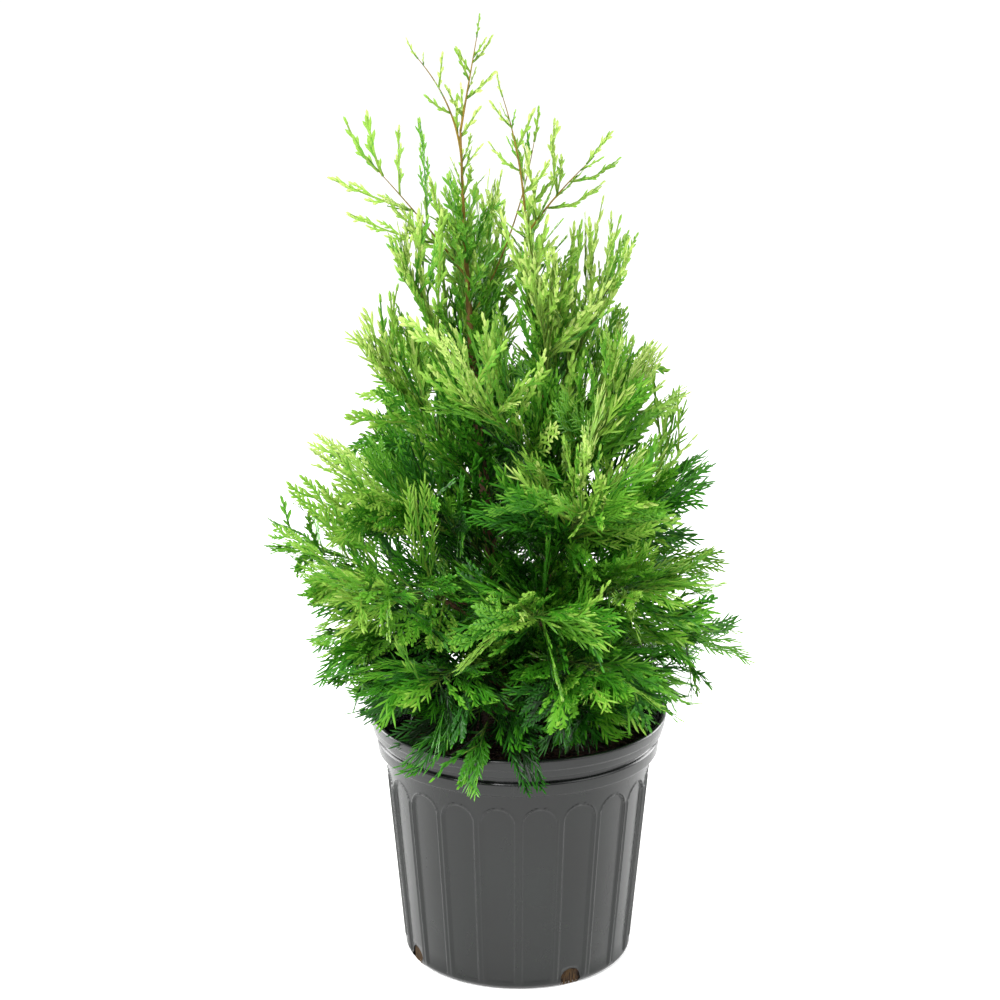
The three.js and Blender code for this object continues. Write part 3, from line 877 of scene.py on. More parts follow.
def fitted_spray(index, branch, origin, length, turns, random):
    """The longest spray from a point that has room in one of several turns, or None."""
    for size in SPRAY_SIZES:
        for axes in turns:
            lift = lift_of(axes, origin[2]) + spread(random, LIFT_SPREAD)
            reach = length * size
            points = origin + (OUTLINE * reach) @ axes[:2]
            slack = SHOOT_SLACK if axes[0][2] > STEEP else SPACE_SLACK
            if has_room(index, bent(points, OUTLINE[:, 0] * reach, reach, lift), slack):
                # a tone that is partly freshness and partly painted light and shade, with a random spread
                tone = spray_tone(origin + axes[0] * reach) + spread(random, TONE_SPREAD)
                tone = min(max(tone, DARKEST), PALEST)
                if branch.tier == "tops":
                    tone = graded(TOP_TONE, random())
                variant = int(random() * FROND_VARIANTS)
                return Spray(origin, axes, reach, lift, style_of(branch, axes, random), tone, variant)
    return None


def spray_tone(tip):
    """How light a spray's green is: higher and further out is yellower, partly younger growth and partly
    painted light; low and inside is darker, partly older growth and partly painted shade.
    """
    x, y, z = tip
    height = height_share(z)
    axis = trunk_curve.point(np.clip((z - SOIL_HEIGHT) / (TRUNK_TOP[2] - SOIL_HEIGHT), 0, 1))
    outside = np.clip(np.hypot(x - axis[0], y - axis[1]) / graded(CROWN_RADIUS, height), 0, 1)
    # painted shade on the low middle of the front
    front = math.exp(-(((x - FRONT_MIDDLE) / FRONT_WIDTH) ** 2)) * (-FRONT_REACH < y < 0) * (1 - height)
    # painted light and shade on the side towards +X, and painted light on the upper side towards -X
    right = max(x, 0) * MM * graded(RIGHT_PAINTED_LIGHT, min(3 * height, 1))
    left = max(-x, 0) * MM * LEFT_PAINTED_LIGHT * max(height - LEFT_PAINTED_LIGHT_FROM, 0)
    return LOW_TONE + HEIGHT_TONE * height + OUTSIDE_TONE * outside**2 + right + left - FRONT_PAINTED_SHADE * front


def fullness(branch):
    """How many finer sprays a mass has for each main one."""
    if branch.name == "front_droop":
        return DROOP_FULLNESS
    opening = SIDE_OPENING * abs(math.sin(math.radians(branch.azimuth))) if branch.tier in LOW_TIERS else 0
    return FULLNESS[branch.tier] * (1 - opening)


def top_sprays(index, branch, random):
    """The few sprays of a mass that stands out from the top."""
    sites = [*main_sites(branch), *finer_sites(branch, branch.sprays)]
    for site in sites:
        site.length *= PLUME_SIZE if branch.name.endswith("plume") else TOP_SIZE
    return grow_sprays(index, branch, sites, random)


def full_sprays(index, branch, density, random):
    """The sprays of any other mass, and the ones that grow on from them."""
    finer = round(FINER_COUNT * fullness(branch) * density * branch.sprays)
    sites = [*main_sites(branch), *finer_sites(branch, finer), *facing_sites(branch, finer)]
    sprays = grow_sprays(index, branch, sites, random)
    second = round(SECOND_COUNT * fullness(branch) * density * branch.sprays)
    return sprays + [spray for spray in second_sprays(index, branch, sprays, second) if spray]


def grow_sprays(index, branch, sites, random):
    return [spray for site in sites if (spray := grow_spray(index, branch, site, random))]


@functools.cache
def grown_sprays(density):
    """Every spray of every branch, in a list for each."""
    grown = []
    for index, branch in enumerate(branches):
        random = seeded(branch.seed + ROOM_SEED)
        if branch.tier == "tops":
            grown.append(top_sprays(index, branch, random))
        else:
            grown.append(full_sprays(index, branch, density, random))
    return grown


@functools.cache
def inner_sprays():
    """Short sprays on the stems and boughs, inside the crown, dark partly as older growth and partly as
    painted shade.
    """
    random = seeded(INNER_SEED)
    sprays = []
    homes = [(trunk_curve, TRUNK_SPRAYS), (leader_curve, LEADER_SPRAYS)]
    homes += [(bough, BOUGH_SPRAYS) for bough in boughs]
    for curve, (first, last, count) in homes:
        for i in range(count):
            share = first + (last - first) * (i + random()) / count
            azimuth = INNER_TURN * i + INNER_TURN_SPREAD * random()
            sprays.append(inner_spray(curve, share, azimuth, random))
    return [spray for spray in sprays if spray]


def inner_spray(curve, share, azimuth, random):
    """A short spray on a limb, or None where it is left out or would be in the pot."""
    origin = curve.point(share)
    height = height_share(origin[2])
    rise = INNER_RISE + graded(INNER_RISE_SPREAD, height**2) * random()
    direction = unit(outward(azimuth) + UP * rise + curve.tangent(share) * INNER_ALONG)
    edge = unit(np.cross(UP, direction) + UP * spread(random, 1))
    axes = spray_axes(direction, np.cross(direction, edge))
    is_top = origin[2] > BARE_HEIGHT
    if random() < (INNER_TOP_LEFT_OUT if is_top else INNER_LEFT_OUT * height**2):
        return None
    length = graded(INNER_LENGTH, random()) * graded(INNER_TAPER, share) * (INNER_TOP_SIZE if is_top else 1)
    if is_in_pot(origin + (OUTLINE * length) @ axes[:2]).any():
        return None
    # a low tone, partly older growth and partly painted shade inside the crown, lighter further up
    tone = graded(INNER_TONE, random()) + INNER_TONE_RISE * max(share - INNER_TONE_FROM, 0)
    variant = int(FROND_VARIANTS * random())
    style = "sparse" if is_top else ("bold" if random() < height else "inner")
    return Spray(origin, axes, length, 0, style, tone + INNER_HIGH_TONE * height * random(), variant)


# ---------------------------------------------------------------- one spray


class FrondShape:
    """The points and faces of a flat spray along +X, made of leafy fingers and ridged strips."""

    FINGER = np.array([
        [0, -0.48, 0],
        [0, 0.48, 0],
        [0.66, 0.46, 0],
        [1, 0, 0],
        [0.66, -0.46, 0],
        [0.5, 0, 0.3],
    ])  # its outline and the top of its ridge
    FINGER_FACES = np.array([[0, 4, 5], [4, 3, 5], [3, 2, 5], [2, 1, 5], [1, 0, 5]])
    RIDGE = 0.22  # the height of a strip's ridge, as a share of its width

    def __init__(self):
        self.points, self.faces, self.fresh = [], [], []
        self.count = 0

    def add(self, points, faces, fresh):
        self.points.append(points)
        self.faces.append(faces + self.count)
        self.fresh.append(np.full(len(faces), fresh))
        self.count += len(points)

    def finger(self, base, heading, length, width, tilt, rise, fresh):
        local = self.FINGER * [length, width, width]
        local[:, 2] += local[:, 1] * tilt + local[:, 0] * rise
        turn = np.array([[math.cos(heading), math.sin(heading)], [-math.sin(heading), math.cos(heading)]])
        flat = local[:, :2] @ turn
        self.add(np.column_stack([flat, local[:, 2]]) + base, self.FINGER_FACES, fresh)

    def strip(self, points, widths, fresh):
        steps = np.gradient(points, axis=0)
        sideways = unit(np.column_stack([-steps[:, 1], steps[:, 0], 0 * steps[:, 0]]))
        half = sideways * np.array(widths)[:, None] / 2
        ridge = points + UP * np.array(widths)[:, None] * self.RIDGE
        rows = np.stack([points - half, ridge, points + half], 1).reshape(-1, 3)
        faces = []
        for i in range(len(points) - 1):
            for side in (0, 1):
                a, b = 3 * i + side, 3 * i + side + 3
                faces += [[a, b, b + 1], [a, b + 1, a + 1]]
        self.add(rows, np.array(faces), fresh)

    def arrays(self):
        return np.concatenate(self.points), np.concatenate(self.faces), np.concatenate(self.fresh)


def walk(start, heading, length, curl, steps, rise):
    """Points along a line that turns by `curl` and climbs by `rise` of its length, and its headings."""
    headings = heading + curl * (np.arange(steps) + 0.5) / steps
    stride = length / steps
    moves = np.column_stack([np.cos(headings), np.sin(headings), np.full(steps, rise)]) * stride
    points = start + np.vstack([np.zeros(3), np.cumsum(moves, axis=0)])
    return points, np.append(headings, headings[-1])


@functools.cache
def frond(style_name, nominal, variant):
    """The mesh of a spray of one style and nominal length."""
    style = STYLES[style_name]
    kind = 10 * list(STYLES).index(style_name) + FROND_LENGTHS.index(nominal)
    random = seeded(FROND_SEED + 10 * kind + variant)
    shape = FrondShape()
    bend = math.radians(spread(random, STEM_BEND_SPREAD) + side_of(variant) * STEM_BEND)
    stem, headings = walk(np.zeros(3), -bend / 2, nominal * STEM_REACH, bend, STEM_STEPS, 0)
    shares = np.linspace(0, 1, STEM_STEPS + 1)
    shape.strip(stem, graded(STEM_WIDTH, shares), STALK)
    first = FIRST_LONG_TWIG if nominal > LONG_FROND else FIRST_TWIG
    count = max(FEWEST_TWIGS, round(nominal * (TWIG_ROW_END - first) / style.twig_pitch))
    for i in range(count):
        share = first + (LAST_TWIG - first) * (i + TWIG_SHIFT * random()) / count
        base = np.array([np.interp(share, shares, line) for line in stem.T])
        heading = np.interp(share, shares, headings)
        reach = nominal * style.half_width * TWIG_REACH * swell(TWIG_SWELL, share) ** TWIG_SWELL_POWER
        reach *= graded(TWIG_REACH_RANGE, random())
        splay = math.radians(style.twig_splay - TWIG_SPLAY_LOSS * share + spread(random, TWIG_SPLAY_SPREAD))
        add_side_twig(shape, style, base, heading + side_of(i) * splay, reach, side_of(i), share, random)
    shape.finger(stem[-1] - [1, 0, 0], headings[-1], style.finger * STEM_FINGER, style.finger_width, 0, 0, 1)
    return shape.arrays()


def add_side_twig(shape, style, base, heading, reach, side, share, random):
    """One side twig with its fingers, or a single finger where it is short."""
    rise = spread(random, TWIG_RISE_SPREAD)
    tilt = spread(random, TWIG_TILT_SPREAD)
    if reach < style.finger * SHORT_TWIG:
        length = max(reach, style.finger * SHORTEST_TWIG)
        shape.finger(base, heading, length, style.finger_width, tilt, rise, graded(SHORT_FRESH, share))
        return
    curl = -side * math.radians(graded(TWIG_CURL, random()))
    line, headings = walk(base, heading, reach - style.finger * TWIG_END, curl, TWIG_STEPS, rise)
    shares = np.linspace(0, 1, TWIG_STEPS + 1)
    shape.strip(line, graded(TWIG_WIDTH, shares), graded(TWIG_FRESH, share))
    count = max(FEWEST_FINGERS, round((reach - style.finger / 2) / style.finger_pitch))
    for k in range(count):
        along = graded(FINGER_ROW, k / count)
        spot = np.array([np.interp(along, shares, axis) for axis in line.T])
        length = style.finger * graded(FINGER_SWELL_RANGE, swell(FINGER_SWELL, along))
        length *= graded(FINGER_RANGE, random()) * graded(FINGER_TAPER, along)
        splay = math.radians(style.finger_splay + spread(random, FINGER_SPLAY_SPREAD))
        width = style.finger_width * graded(FINGER_WIDTH_RANGE, random())
        turned = np.interp(along, shares, headings) + side * side_of(k) * splay
        tilt = spread(random, FINGER_TILT_SPREAD)
        fresh = graded(FINGER_FRESH, along) + TWIG_FRESH[1] * share
        shape.finger(spot, turned, length, width, tilt, rise, fresh)
    length, fresh = style.finger * LAST_FINGER, graded(LAST_FRESH, share)
    shape.finger(line[-1], headings[-1], length, style.finger_width, tilt, rise, fresh)


def spray_mesh(sprays, tones):
    """Points, faces and colour numbers of many sprays together. The number `tones` is for their stalks."""
    points, faces, colours, count = [], [], [], 0
    groups = {}
    for spray in sprays:
        nominal = min(FROND_LENGTHS, key=lambda length: abs(length - spray.length))
        groups.setdefault((spray.style, nominal, spray.variant), []).append(spray)
    for key in sorted(groups):
        shape, triangles, fresh = frond(*key)
        group = groups[key]
        lengths = np.array([spray.length for spray in group])
        scales = lengths / key[1]
        axes = np.array([spray.axes for spray in group])
        corners = np.einsum("vi,sij->svj", shape, axes) * scales[:, None, None]
        along = np.clip(shape[None, :, 0] / key[1], 0, 1)
        lifts = np.array([spray.lift for spray in group])
        corners[..., 2] += (lifts * lengths)[:, None] * along**2
        corners += np.array([spray.origin for spray in group])[:, None]
        points.append(corners.reshape(-1, 3))
        offsets = count + np.arange(len(group)) * len(shape)
        faces.append((triangles[None] + offsets[:, None, None]).reshape(-1, 3))
        spray_tones = np.array([spray.tone for spray in group])[:, None]
        # the green of each face: the spray's tone, which carries painted light and shade, made fresher
        # towards the tips
        level = np.rint(spray_tones + FRESH_TONE * np.maximum(fresh[None], 0) + FOOT_TONE)
        is_yellow = (fresh[None] == STALK) & (spray_tones > YELLOW_STEM)
        colours.append(np.where(is_yellow, tones, np.clip(level, 0, tones - 1)).astype(int).ravel())
        count += len(group) * len(shape)
    return np.concatenate(points), np.concatenate(faces), np.concatenate(colours)


# ---------------------------------------------------------------- meshes


def placed(name, data):
    """A new object in the scene."""
    piece = bpy.data.objects.new(name, data)
    bpy.context.scene.collection.objects.link(piece)
    return piece


def add_piece(name, points, faces, materials, slot=None, colours=None, smooth=False):
    """A triangle mesh in its place, which moves with the plant."""
    mesh = bpy.data.meshes.new(name)
    mesh.vertices.add(len(points))
    mesh.vertices.foreach_set("co", (np.asarray(points, np.float32) * MM).ravel())
    mesh.loops.add(faces.size)
    mesh.loops.foreach_set("vertex_index", faces.astype(np.int32).ravel())
    mesh.polygons.add(len(faces))
    mesh.polygons.foreach_set("loop_start", np.arange(0, faces.size, 3, dtype=np.int32))
    for material in materials:
        mesh.materials.append(material)
    if colours is not None:
        mesh.polygons.foreach_set("material_index", colours.astype(np.int32))
    mesh.polygons.foreach_set("use_smooth", np.full(len(faces), smooth))
    mesh.update(calc_edges=True)
    mesh.validate()
    piece = placed(name, mesh)
    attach(piece, "root")
    return piece


def around_axis(radii, azimuths, heights):
    """Points round the pot's axis, for azimuths in radians."""
    return np.stack(np.broadcast_arrays(radii * np.sin(azimuths), -radii * np.cos(azimuths), heights), -1)


def ring_frames(points):
    """Two directions across a line at each of its points, carried along without twist."""
    tangents = unit(np.gradient(points, axis=0))
    first = [unit(np.cross(tangents[0], [0.3, 1, 0.2]))]
    for tangent in tangents[1:]:
        first.append(square_to(tangent, first[-1]))
    first = np.array(first)
    return first, np.cross(tangents, first)


def grid_faces(rows, columns):
    """Triangles over a grid that closes on itself across its columns."""
    row, column = np.meshgrid(np.arange(rows - 1), np.arange(columns), indexing="ij")
    beside = (column + 1) % columns
    a, b = row * columns + column, row * columns + beside
    c, d = a + columns, b + columns
    return np.concatenate([np.stack([a, b, d], -1).reshape(-1, 3), np.stack([a, d, c], -1).reshape(-1, 3)])


def capped(rings, ends):
    """The points and faces of a closed body, from its rings and the middle points of its two ends."""
    rows, columns = rings.shape[:2]
    last = rows * columns
    side = np.arange(columns)
    beside = (side + 1) % columns
    foot = np.column_stack([beside, side, np.full(columns, last)])
    tip = np.column_stack([side, beside, np.full(columns, last + 1)]) + [[last - columns, last - columns, 0]]
    return np.vstack([rings.reshape(-1, 3), ends]), np.vstack([grid_faces(rows, columns), foot, tip])


def tube(points, radii, sides):
    """A closed tube along a line. `radii` has a radius for each ring, or for each of its corners."""
    across, around = ring_frames(points)
    angles = 2 * math.pi * np.arange(sides) / sides
    radii = np.broadcast_to(np.asarray(radii, float).reshape(len(points), -1), (len(points), sides))
    circle = across[:, None] * np.cos(angles)[:, None] + around[:, None] * np.sin(angles)[:, None]
    return capped(points[:, None] + circle * radii[..., None], points[[0, -1]])


def joined(shapes):
    """Several (points, faces) as one."""
    points, faces, count = [], [], 0
    for shape_points, shape_faces in shapes:
        points.append(shape_points)
        faces.append(shape_faces + count)
        count += len(shape_points)
    return np.concatenate(points), np.concatenate(faces)


def smooth_noise(values, cells, wraps, seed):
    """Noise from -1 to 1 at `values`, an array of coordinates in cells. An axis wraps where `wraps` says."""
    grid = np.random.default_rng(seed).uniform(-1, 1, cells)
    low = np.floor(values).astype(int)
    part = values - low
    part = part * part * (3 - 2 * part)
    total = 0
    for corner in np.ndindex(*(2,) * len(cells)):
        weight, index = 1.0, []
        for axis, step in enumerate(corner):
            weight = weight * (part[axis] if step else 1 - part[axis])
            place = low[axis] + step
            index.append(place % cells[axis] if wraps[axis] else np.clip(place, 0, cells[axis] - 1))
        total = total + weight * grid[tuple(index)]
    return total


def relief(rings, sides, cells, seed):
    """Noise over a tube's rings and sides that meets itself round the tube."""
    rows, columns = np.linspace(0, cells[0], rings), np.arange(sides) * cells[1] / sides
    places = np.array(np.meshgrid(rows, columns, indexing="ij"))
    return smooth_noise(places, (cells[0] + 1, cells[1]), (False, True), seed)


def barked(curve, radius_at, rings, sides, depth, seed):
    """A limb with plates and fibres of bark along it."""
    shares = np.linspace(0, 1, rings) ** RING_CROWDING
    plates = relief(rings, sides, BARK_PLATES, seed)
    fibres = relief(rings, sides, BARK_FIBRES, seed + 1)
    cracks = -np.clip(CRACK_WIDTH - np.abs(plates), 0, CRACK_WIDTH) / CRACK_WIDTH
    height = CRACK_DEPTH * cracks + PLATE_DEPTH * plates + FIBRE_DEPTH * fibres
    return tube(curve.point(shares), radius_at(shares)[:, None] * (1 + depth * height), sides)


# ---------------------------------------------------------------- materials


class Socket:
    """A node's output, so that shader maths is written as an expression."""

    def __init__(self, finish, socket):
        self.finish, self.socket = finish, socket

    def _math(self, operation, first, second):
        return self.finish.node("ShaderNodeMath", {"operation": operation}, {0: first, 1: second})

    def __add__(self, other):
        return self._math("ADD", self, other)

    def __radd__(self, other):
        return self._math("ADD", other, self)

    def __sub__(self, other):
        return self._math("SUBTRACT", self, other)

    def __rsub__(self, other):
        return self._math("SUBTRACT", other, self)

    def __mul__(self, other):
        return self._math("MULTIPLY", self, other)

    def __rmul__(self, other):
        return self._math("MULTIPLY", other, self)


class Shading:
    """A node tree in the making."""

    def __init__(self, owner):
        owner.use_nodes = True
        self.tree = owner.node_tree

    def feed(self, target, value):
        if isinstance(value, Socket):
            self.tree.links.new(value.socket, target)
        else:
            target.default_value = value

    def node(self, kind, settings, sockets, output=0):
        """Any node: its settings first, then the values or links of its sockets."""
        made = self.tree.nodes.new(kind)
        for name, value in settings.items():
            if name == "stops":
                while len(made.color_ramp.elements) < len(value):
                    made.color_ramp.elements.new(0.5)
                for element, (position, shade) in zip(made.color_ramp.elements, value):
                    element.position, element.color = position, (shade, shade, shade, 1)
            else:
                setattr(made, name, value)
        for name, value in sockets.items():
            self.feed(made.inputs[name], value)
        return Socket(self, made.outputs[output])

    def ramp(self, value, stops):
        return self.node("ShaderNodeValToRGB", {"stops": stops}, {"Fac": value})


class Finish(Shading):
    """A material in the making."""

    def __init__(self, name, constants):
        self.material = bpy.data.materials.new(name)
        super().__init__(self.material)
        self.shader = self.tree.nodes["Principled BSDF"]
        for socket, value in constants.items():
            self.feed(self.shader.inputs[socket], value)

    def place(self, stretch=(1, 1, 1)):
        """The place on the plant in metres, stretched."""
        place = self.node("ShaderNodeTexCoord", {}, {}, "Object")
        return self.node("ShaderNodeVectorMath", {"operation": "MULTIPLY"}, {0: place, 1: stretch})

    def noise(self, scale, detail=3, stretch=(1, 1, 1)):
        sockets = {"Vector": self.place(stretch), "Scale": scale, "Detail": detail}
        return self.node("ShaderNodeTexNoise", {}, sockets)

    def mix(self, factor, first, second):
        """A blend of two colours."""
        sockets = {0: factor, 6: first, 7: second}
        return self.node("ShaderNodeMix", {"data_type": "RGBA", "clamp_factor": True}, sockets, 2)

    def bump(self, height, strength, distance):
        sockets = {"Height": height, "Strength": strength, "Distance": distance}
        self.feed(self.shader.inputs["Normal"], self.node("ShaderNodeBump", {}, sockets))

    def colour(self, value):
        self.feed(self.shader.inputs["Base Color"], value)

    def roughness(self, value):
        self.feed(self.shader.inputs["Roughness"], value)


def opaque(colour):
    return (*colour, 1)


def pot_finish(settings):
    finish = Finish("moulded plastic", {"IOR": PLASTIC_IOR})
    cloud = finish.ramp(finish.noise(CLOUD_SCALE, 4), [(0.35, 0), (0.7, 1)])
    scuffs = finish.ramp(finish.noise(SCUFF_SCALE, 6, (1, 1, 0.25)), [(0.6, 0), (0.78, 1)])
    grey = finish.mix(cloud * 0.6, opaque(settings.plastic), opaque(settings.plastic_dusty))
    finish.colour(finish.mix(scuffs * 0.35, grey, opaque(settings.plastic_dusty)))
    finish.roughness(PLASTIC_ROUGHNESS + 0.06 * cloud + 0.12 * scuffs)
    finish.bump(finish.noise(PLASTIC_GRAIN, 2) + 1.5 * finish.noise(PLASTIC_DENTS, 2), 0.12, 0.4 * MM)
    return finish.material


def soil_finish(settings):
    finish = Finish("potting soil", {"Specular IOR Level": 0.2})
    clods = finish.noise(CLOD_SCALE, 6)
    dryness = finish.ramp(clods, [(0.38, 0), (0.66, 1)])
    finish.colour(finish.mix(dryness, opaque(settings.soil_damp), opaque(settings.soil_dry)))
    finish.roughness(0.8 + 0.15 * dryness)
    finish.bump(clods, 0.8, 2 * MM)
    return finish.material


def bark_finish(name, dark, light, scale, young=None):
    """Fibrous bark. A stem's upper part takes the colour `young`."""
    finish = Finish(name, {"Specular IOR Level": 0.3})
    fibres = finish.noise(scale, 6, (1, 1, ALONG_GRAIN))
    patches = finish.noise(scale * PATCH_SHARE, 2)
    ridges = finish.ramp(fibres * (1 - PATCH_SHARE) + PATCH_SHARE * patches, [(0.36, 0), (0.62, 1)])
    colour = finish.mix(ridges, opaque(dark), opaque(light))
    if young:
        height = finish.node("ShaderNodeSeparateXYZ", {}, {"Vector": finish.place()}, "Z")
        upper = finish.ramp(height, [(YOUNG_FROM * MM, 0), (YOUNG_FULL * MM, 1)])
        colour = finish.mix(upper * (0.45 + 0.5 * ridges), colour, opaque(young))
    finish.colour(colour)
    finish.roughness(0.72 + 0.18 * ridges)
    finish.bump(fibres, 0.7, 1.2 * MM)
    return finish.material


# greens that are partly the age of a spray and partly painted light and shade, from darkest to palest
LEAF_AGES_AND_SHADES = ["deep", "dark", "green", "middle", "fresh", "bright", "tip"]


def leaf_finishes(settings):
    """The greens from the oldest, deepest sprays to the youngest tips, and the stalks' one. The darker greens
    are partly painted shade inside the crown, the paler ones partly painted light.
    """
    names = [*[f"leaf_{age}" for age in LEAF_AGES_AND_SHADES], "stalk"]
    return [leaf_finish(name, getattr(settings, name)) for name in names]


def leaf_finish(name, colour):
    constants = {"Base Color": opaque(colour), "Roughness": LEAF_ROUGHNESS, "Specular IOR Level": 0.22}
    return Finish(name.replace("_", " "), constants).material


# ---------------------------------------------------------------- settings


def shade(red, green, blue):
    """A display colour, from 0 to 255 a channel, as linear light."""
    return tuple(((c / 255 + 0.055) / 1.055) ** 2.4 if c > 10 else c / 3294.6 for c in (red, green, blue))


def colour_property(name, description, default):
    looks = {"subtype": "COLOR", "size": 3, "min": 0, "max": 1}
    return FloatVectorProperty(name=name, description=description, default=default, **looks)


def length_property(name, description, millimetres):
    looks = {"subtype": "DISTANCE", "unit": "LENGTH"}
    return FloatProperty(name=name, description=description, default=millimetres * MM, **looks)


def power_property(name, description, watts):
    return FloatProperty(name=name, description=description, default=watts, unit="POWER", min=0)


def share_property(name, description, default):
    return FloatProperty(name=name, description=description, default=default, subtype="FACTOR", min=0, max=1)


class ThujaPlantSettings(bpy.types.PropertyGroup):
    """Sizes and colours of the plant."""

    density: FloatProperty(name="Density", description="How many finer sprays there are", default=5.6, min=0)
    bark_depth: share_property("Bark depth", "Depth of the relief as a share of the radius", 0.2)
    bark_dark: colour_property("Bark furrows", "Colour in the furrows", shade(48, 32, 22))
    bark_light: colour_property("Bark ridges", "Colour on the ridges", shade(104, 76, 54))
    bark_young: colour_property("Young bark", "Colour of the stems near the top", shade(130, 104, 30))
    twig_dark: colour_property("Twig shade", "Darker colour of young twigs", shade(36, 44, 16))
    twig_light: colour_property("Twig light", "Lighter colour of young twigs", shade(78, 94, 34))
    # the deep and dark greens are partly older sprays and partly painted shade inside the crown; the fresh,
    # bright and tip greens partly young growth and partly painted light
    leaf_deep: colour_property("Deep green", "Sprays deep inside", shade(10, 38, 5))
    leaf_dark: colour_property("Dark green", "Sprays low and inside", shade(26, 78, 12))
    leaf_green: colour_property("Green", "Older sprays", shade(54, 118, 20))
    leaf_middle: colour_property("Middle green", "Most sprays", shade(90, 148, 38))
    leaf_fresh: colour_property("Fresh green", "Outer sprays", shade(128, 171, 62))
    leaf_bright: colour_property("Bright green", "Young sprays", shade(166, 191, 98))
    leaf_tip: colour_property("Tip green", "The youngest tips", shade(194, 206, 138))
    stalk: colour_property("Stalk", "The stems of the sprays", shade(112, 144, 50))


class ThujaPotSettings(bpy.types.PropertyGroup):
    """Sizes and colours of the pot and its soil."""

    panel_depth: length_property("Panel depth", "How deep the arched panels lie", 1.5)
    bead: length_property("Bead", "Height of the bead round each panel", 1.2)
    lip_wave: length_property("Lip wave", "How far the lip is out of true", 1.6)
    plastic: colour_property("Plastic", "Colour of the plastic", shade(8, 10, 9))
    plastic_dusty: colour_property("Dusty plastic", "Colour where it is scuffed", shade(18, 24, 22))
    soil_damp: colour_property("Damp soil", "Colour in the hollows", shade(26, 17, 12))
    soil_dry: colour_property("Dry soil", "Colour on the clods", shade(74, 52, 38))
    root_colour: colour_property("Roots", "Colour of the roots at the holes", shade(84, 62, 34))


class ThujaStageSettings(bpy.types.PropertyGroup):
    """Floor, light and camera."""

    floor_colour: colour_property("Floor", "Colour of the floor", (0.95, 0.95, 0.95))
    floor_glow: FloatProperty(name="Floor glow", description="Light the floor gives off", default=0.27, min=0)
    sky: FloatProperty(name="Sky", description="Strength of the light from all round", default=0.92, min=0)
    dark_side: share_property("Dark side", "Brightness of the room in front of the plant", 0.62)
    key_power: power_property("Key light", "Power of the main lamp", 128)
    fill_power: power_property("Fill light", "Power of the fill lamp", 20)
    rim_power: power_property("Rim lights", "Power of each lamp behind", 44)
    lens: FloatProperty(name="Lens", description="Focal length of the camera in mm", default=89.1, min=10)


# ---------------------------------------------------------------- pot


def wall_radius(height):
    return np.interp(height, [FOOT_CHAMFER, WALL_TOP], [FOOT_RADIUS, WALL_TOP_RADIUS])


def circle_of(columns):
    """Azimuths round the pot's axis in radians."""
    return 2 * math.pi * np.arange(columns) / columns


def rounded(profile, radius, steps=4):
    """A profile of (radius, height) corners with each inner corner turned into a small arc."""
    corners = [np.array(corner, float) for corner in profile]
    path = [corners[0]]
    for before, corner, after in zip(corners, corners[1:], corners[2:]):
        back, ahead = before - corner, after - corner
        cut = min(radius, np.linalg.norm(back) / 2.2, np.linalg.norm(ahead) / 2.2)
        start, end = corner + unit(back) * cut, corner + unit(ahead) * cut
        for t in np.linspace(0, 1, steps):
            path.append((1 - t) ** 2 * start + 2 * t * (1 - t) * corner + t**2 * end)
    return np.array([*path, corners[-1]])


def pot_profile():
    """The pot's section from the middle of its underside, up the outside and down the inside."""
    lip = RIM_RADIUS - WALL_TOP_RADIUS
    # how far each corner is out from the wall's top and down from the lip
    step = [(0, RIM_DEPTH), (7.2, 37), (8.2, 26.5), (7.4, 25), (5.2, 23.5), (5.6, 19)]
    band = [(11.4, 17.6), (12.6, 11), (13.8, 10), (lip, 3), (lip, 1.2), (lip - 1.4, 0)]
    outside = [(WALL_TOP_RADIUS + out, POT_HEIGHT - down) for out, down in [*step, *band]]
    inside = [
        (RIM_RADIUS - 3.2, POT_HEIGHT),
        (RIM_RADIUS - 10.5, POT_HEIGHT - 23),
        (WALL_TOP_RADIUS - WALL_THICKNESS, WALL_TOP),
    ]
    rim = rounded([(wall_radius(WALL_END), WALL_END), *outside, *inside], RIM_ROUNDING)
    wall_rows = np.concatenate([WALL_ROWS, np.arange(ARCH_FOOT, WALL_END - 1, ARCH_ROW)])
    wall = np.column_stack([wall_radius(wall_rows), wall_rows])
    chamfer = [(FOOT_RADIUS - FOOT_CHAMFER, 0), (FOOT_RADIUS, FOOT_CHAMFER)]
    foot = rounded([(FLOOR_RING, 0), *chamfer, wall[0]], FOOT_ROUNDING)
    floor = [(wall_radius(WALL_THICKNESS) - WALL_THICKNESS, WALL_THICKNESS), (FLOOR_RING, WALL_THICKNESS)]
    inner = [(wall_radius(height) - WALL_THICKNESS, height) for height in INNER_ROWS]
    return np.vstack([foot[:-1], wall, rim, inner, floor])


def panel_inset(azimuths, heights, depth, bead):
    """How far the wall stands in at each place, for round-topped panels with a bead round each."""
    radii = wall_radius(heights)
    pitch = 2 * math.pi / PANEL_COUNT
    sideways = ((azimuths % pitch) - pitch / 2) * radii
    half = pitch / 2 * radii - PANEL_GAP / 2
    over = np.clip(heights - (PANEL_TOP - half), 0, None)
    inside = half - np.hypot(sideways, over)
    recess = np.clip(inside / PANEL_EDGE, 0, 1)
    return depth * recess - bead * np.exp(-((inside / BEAD_WIDTH) ** 2))


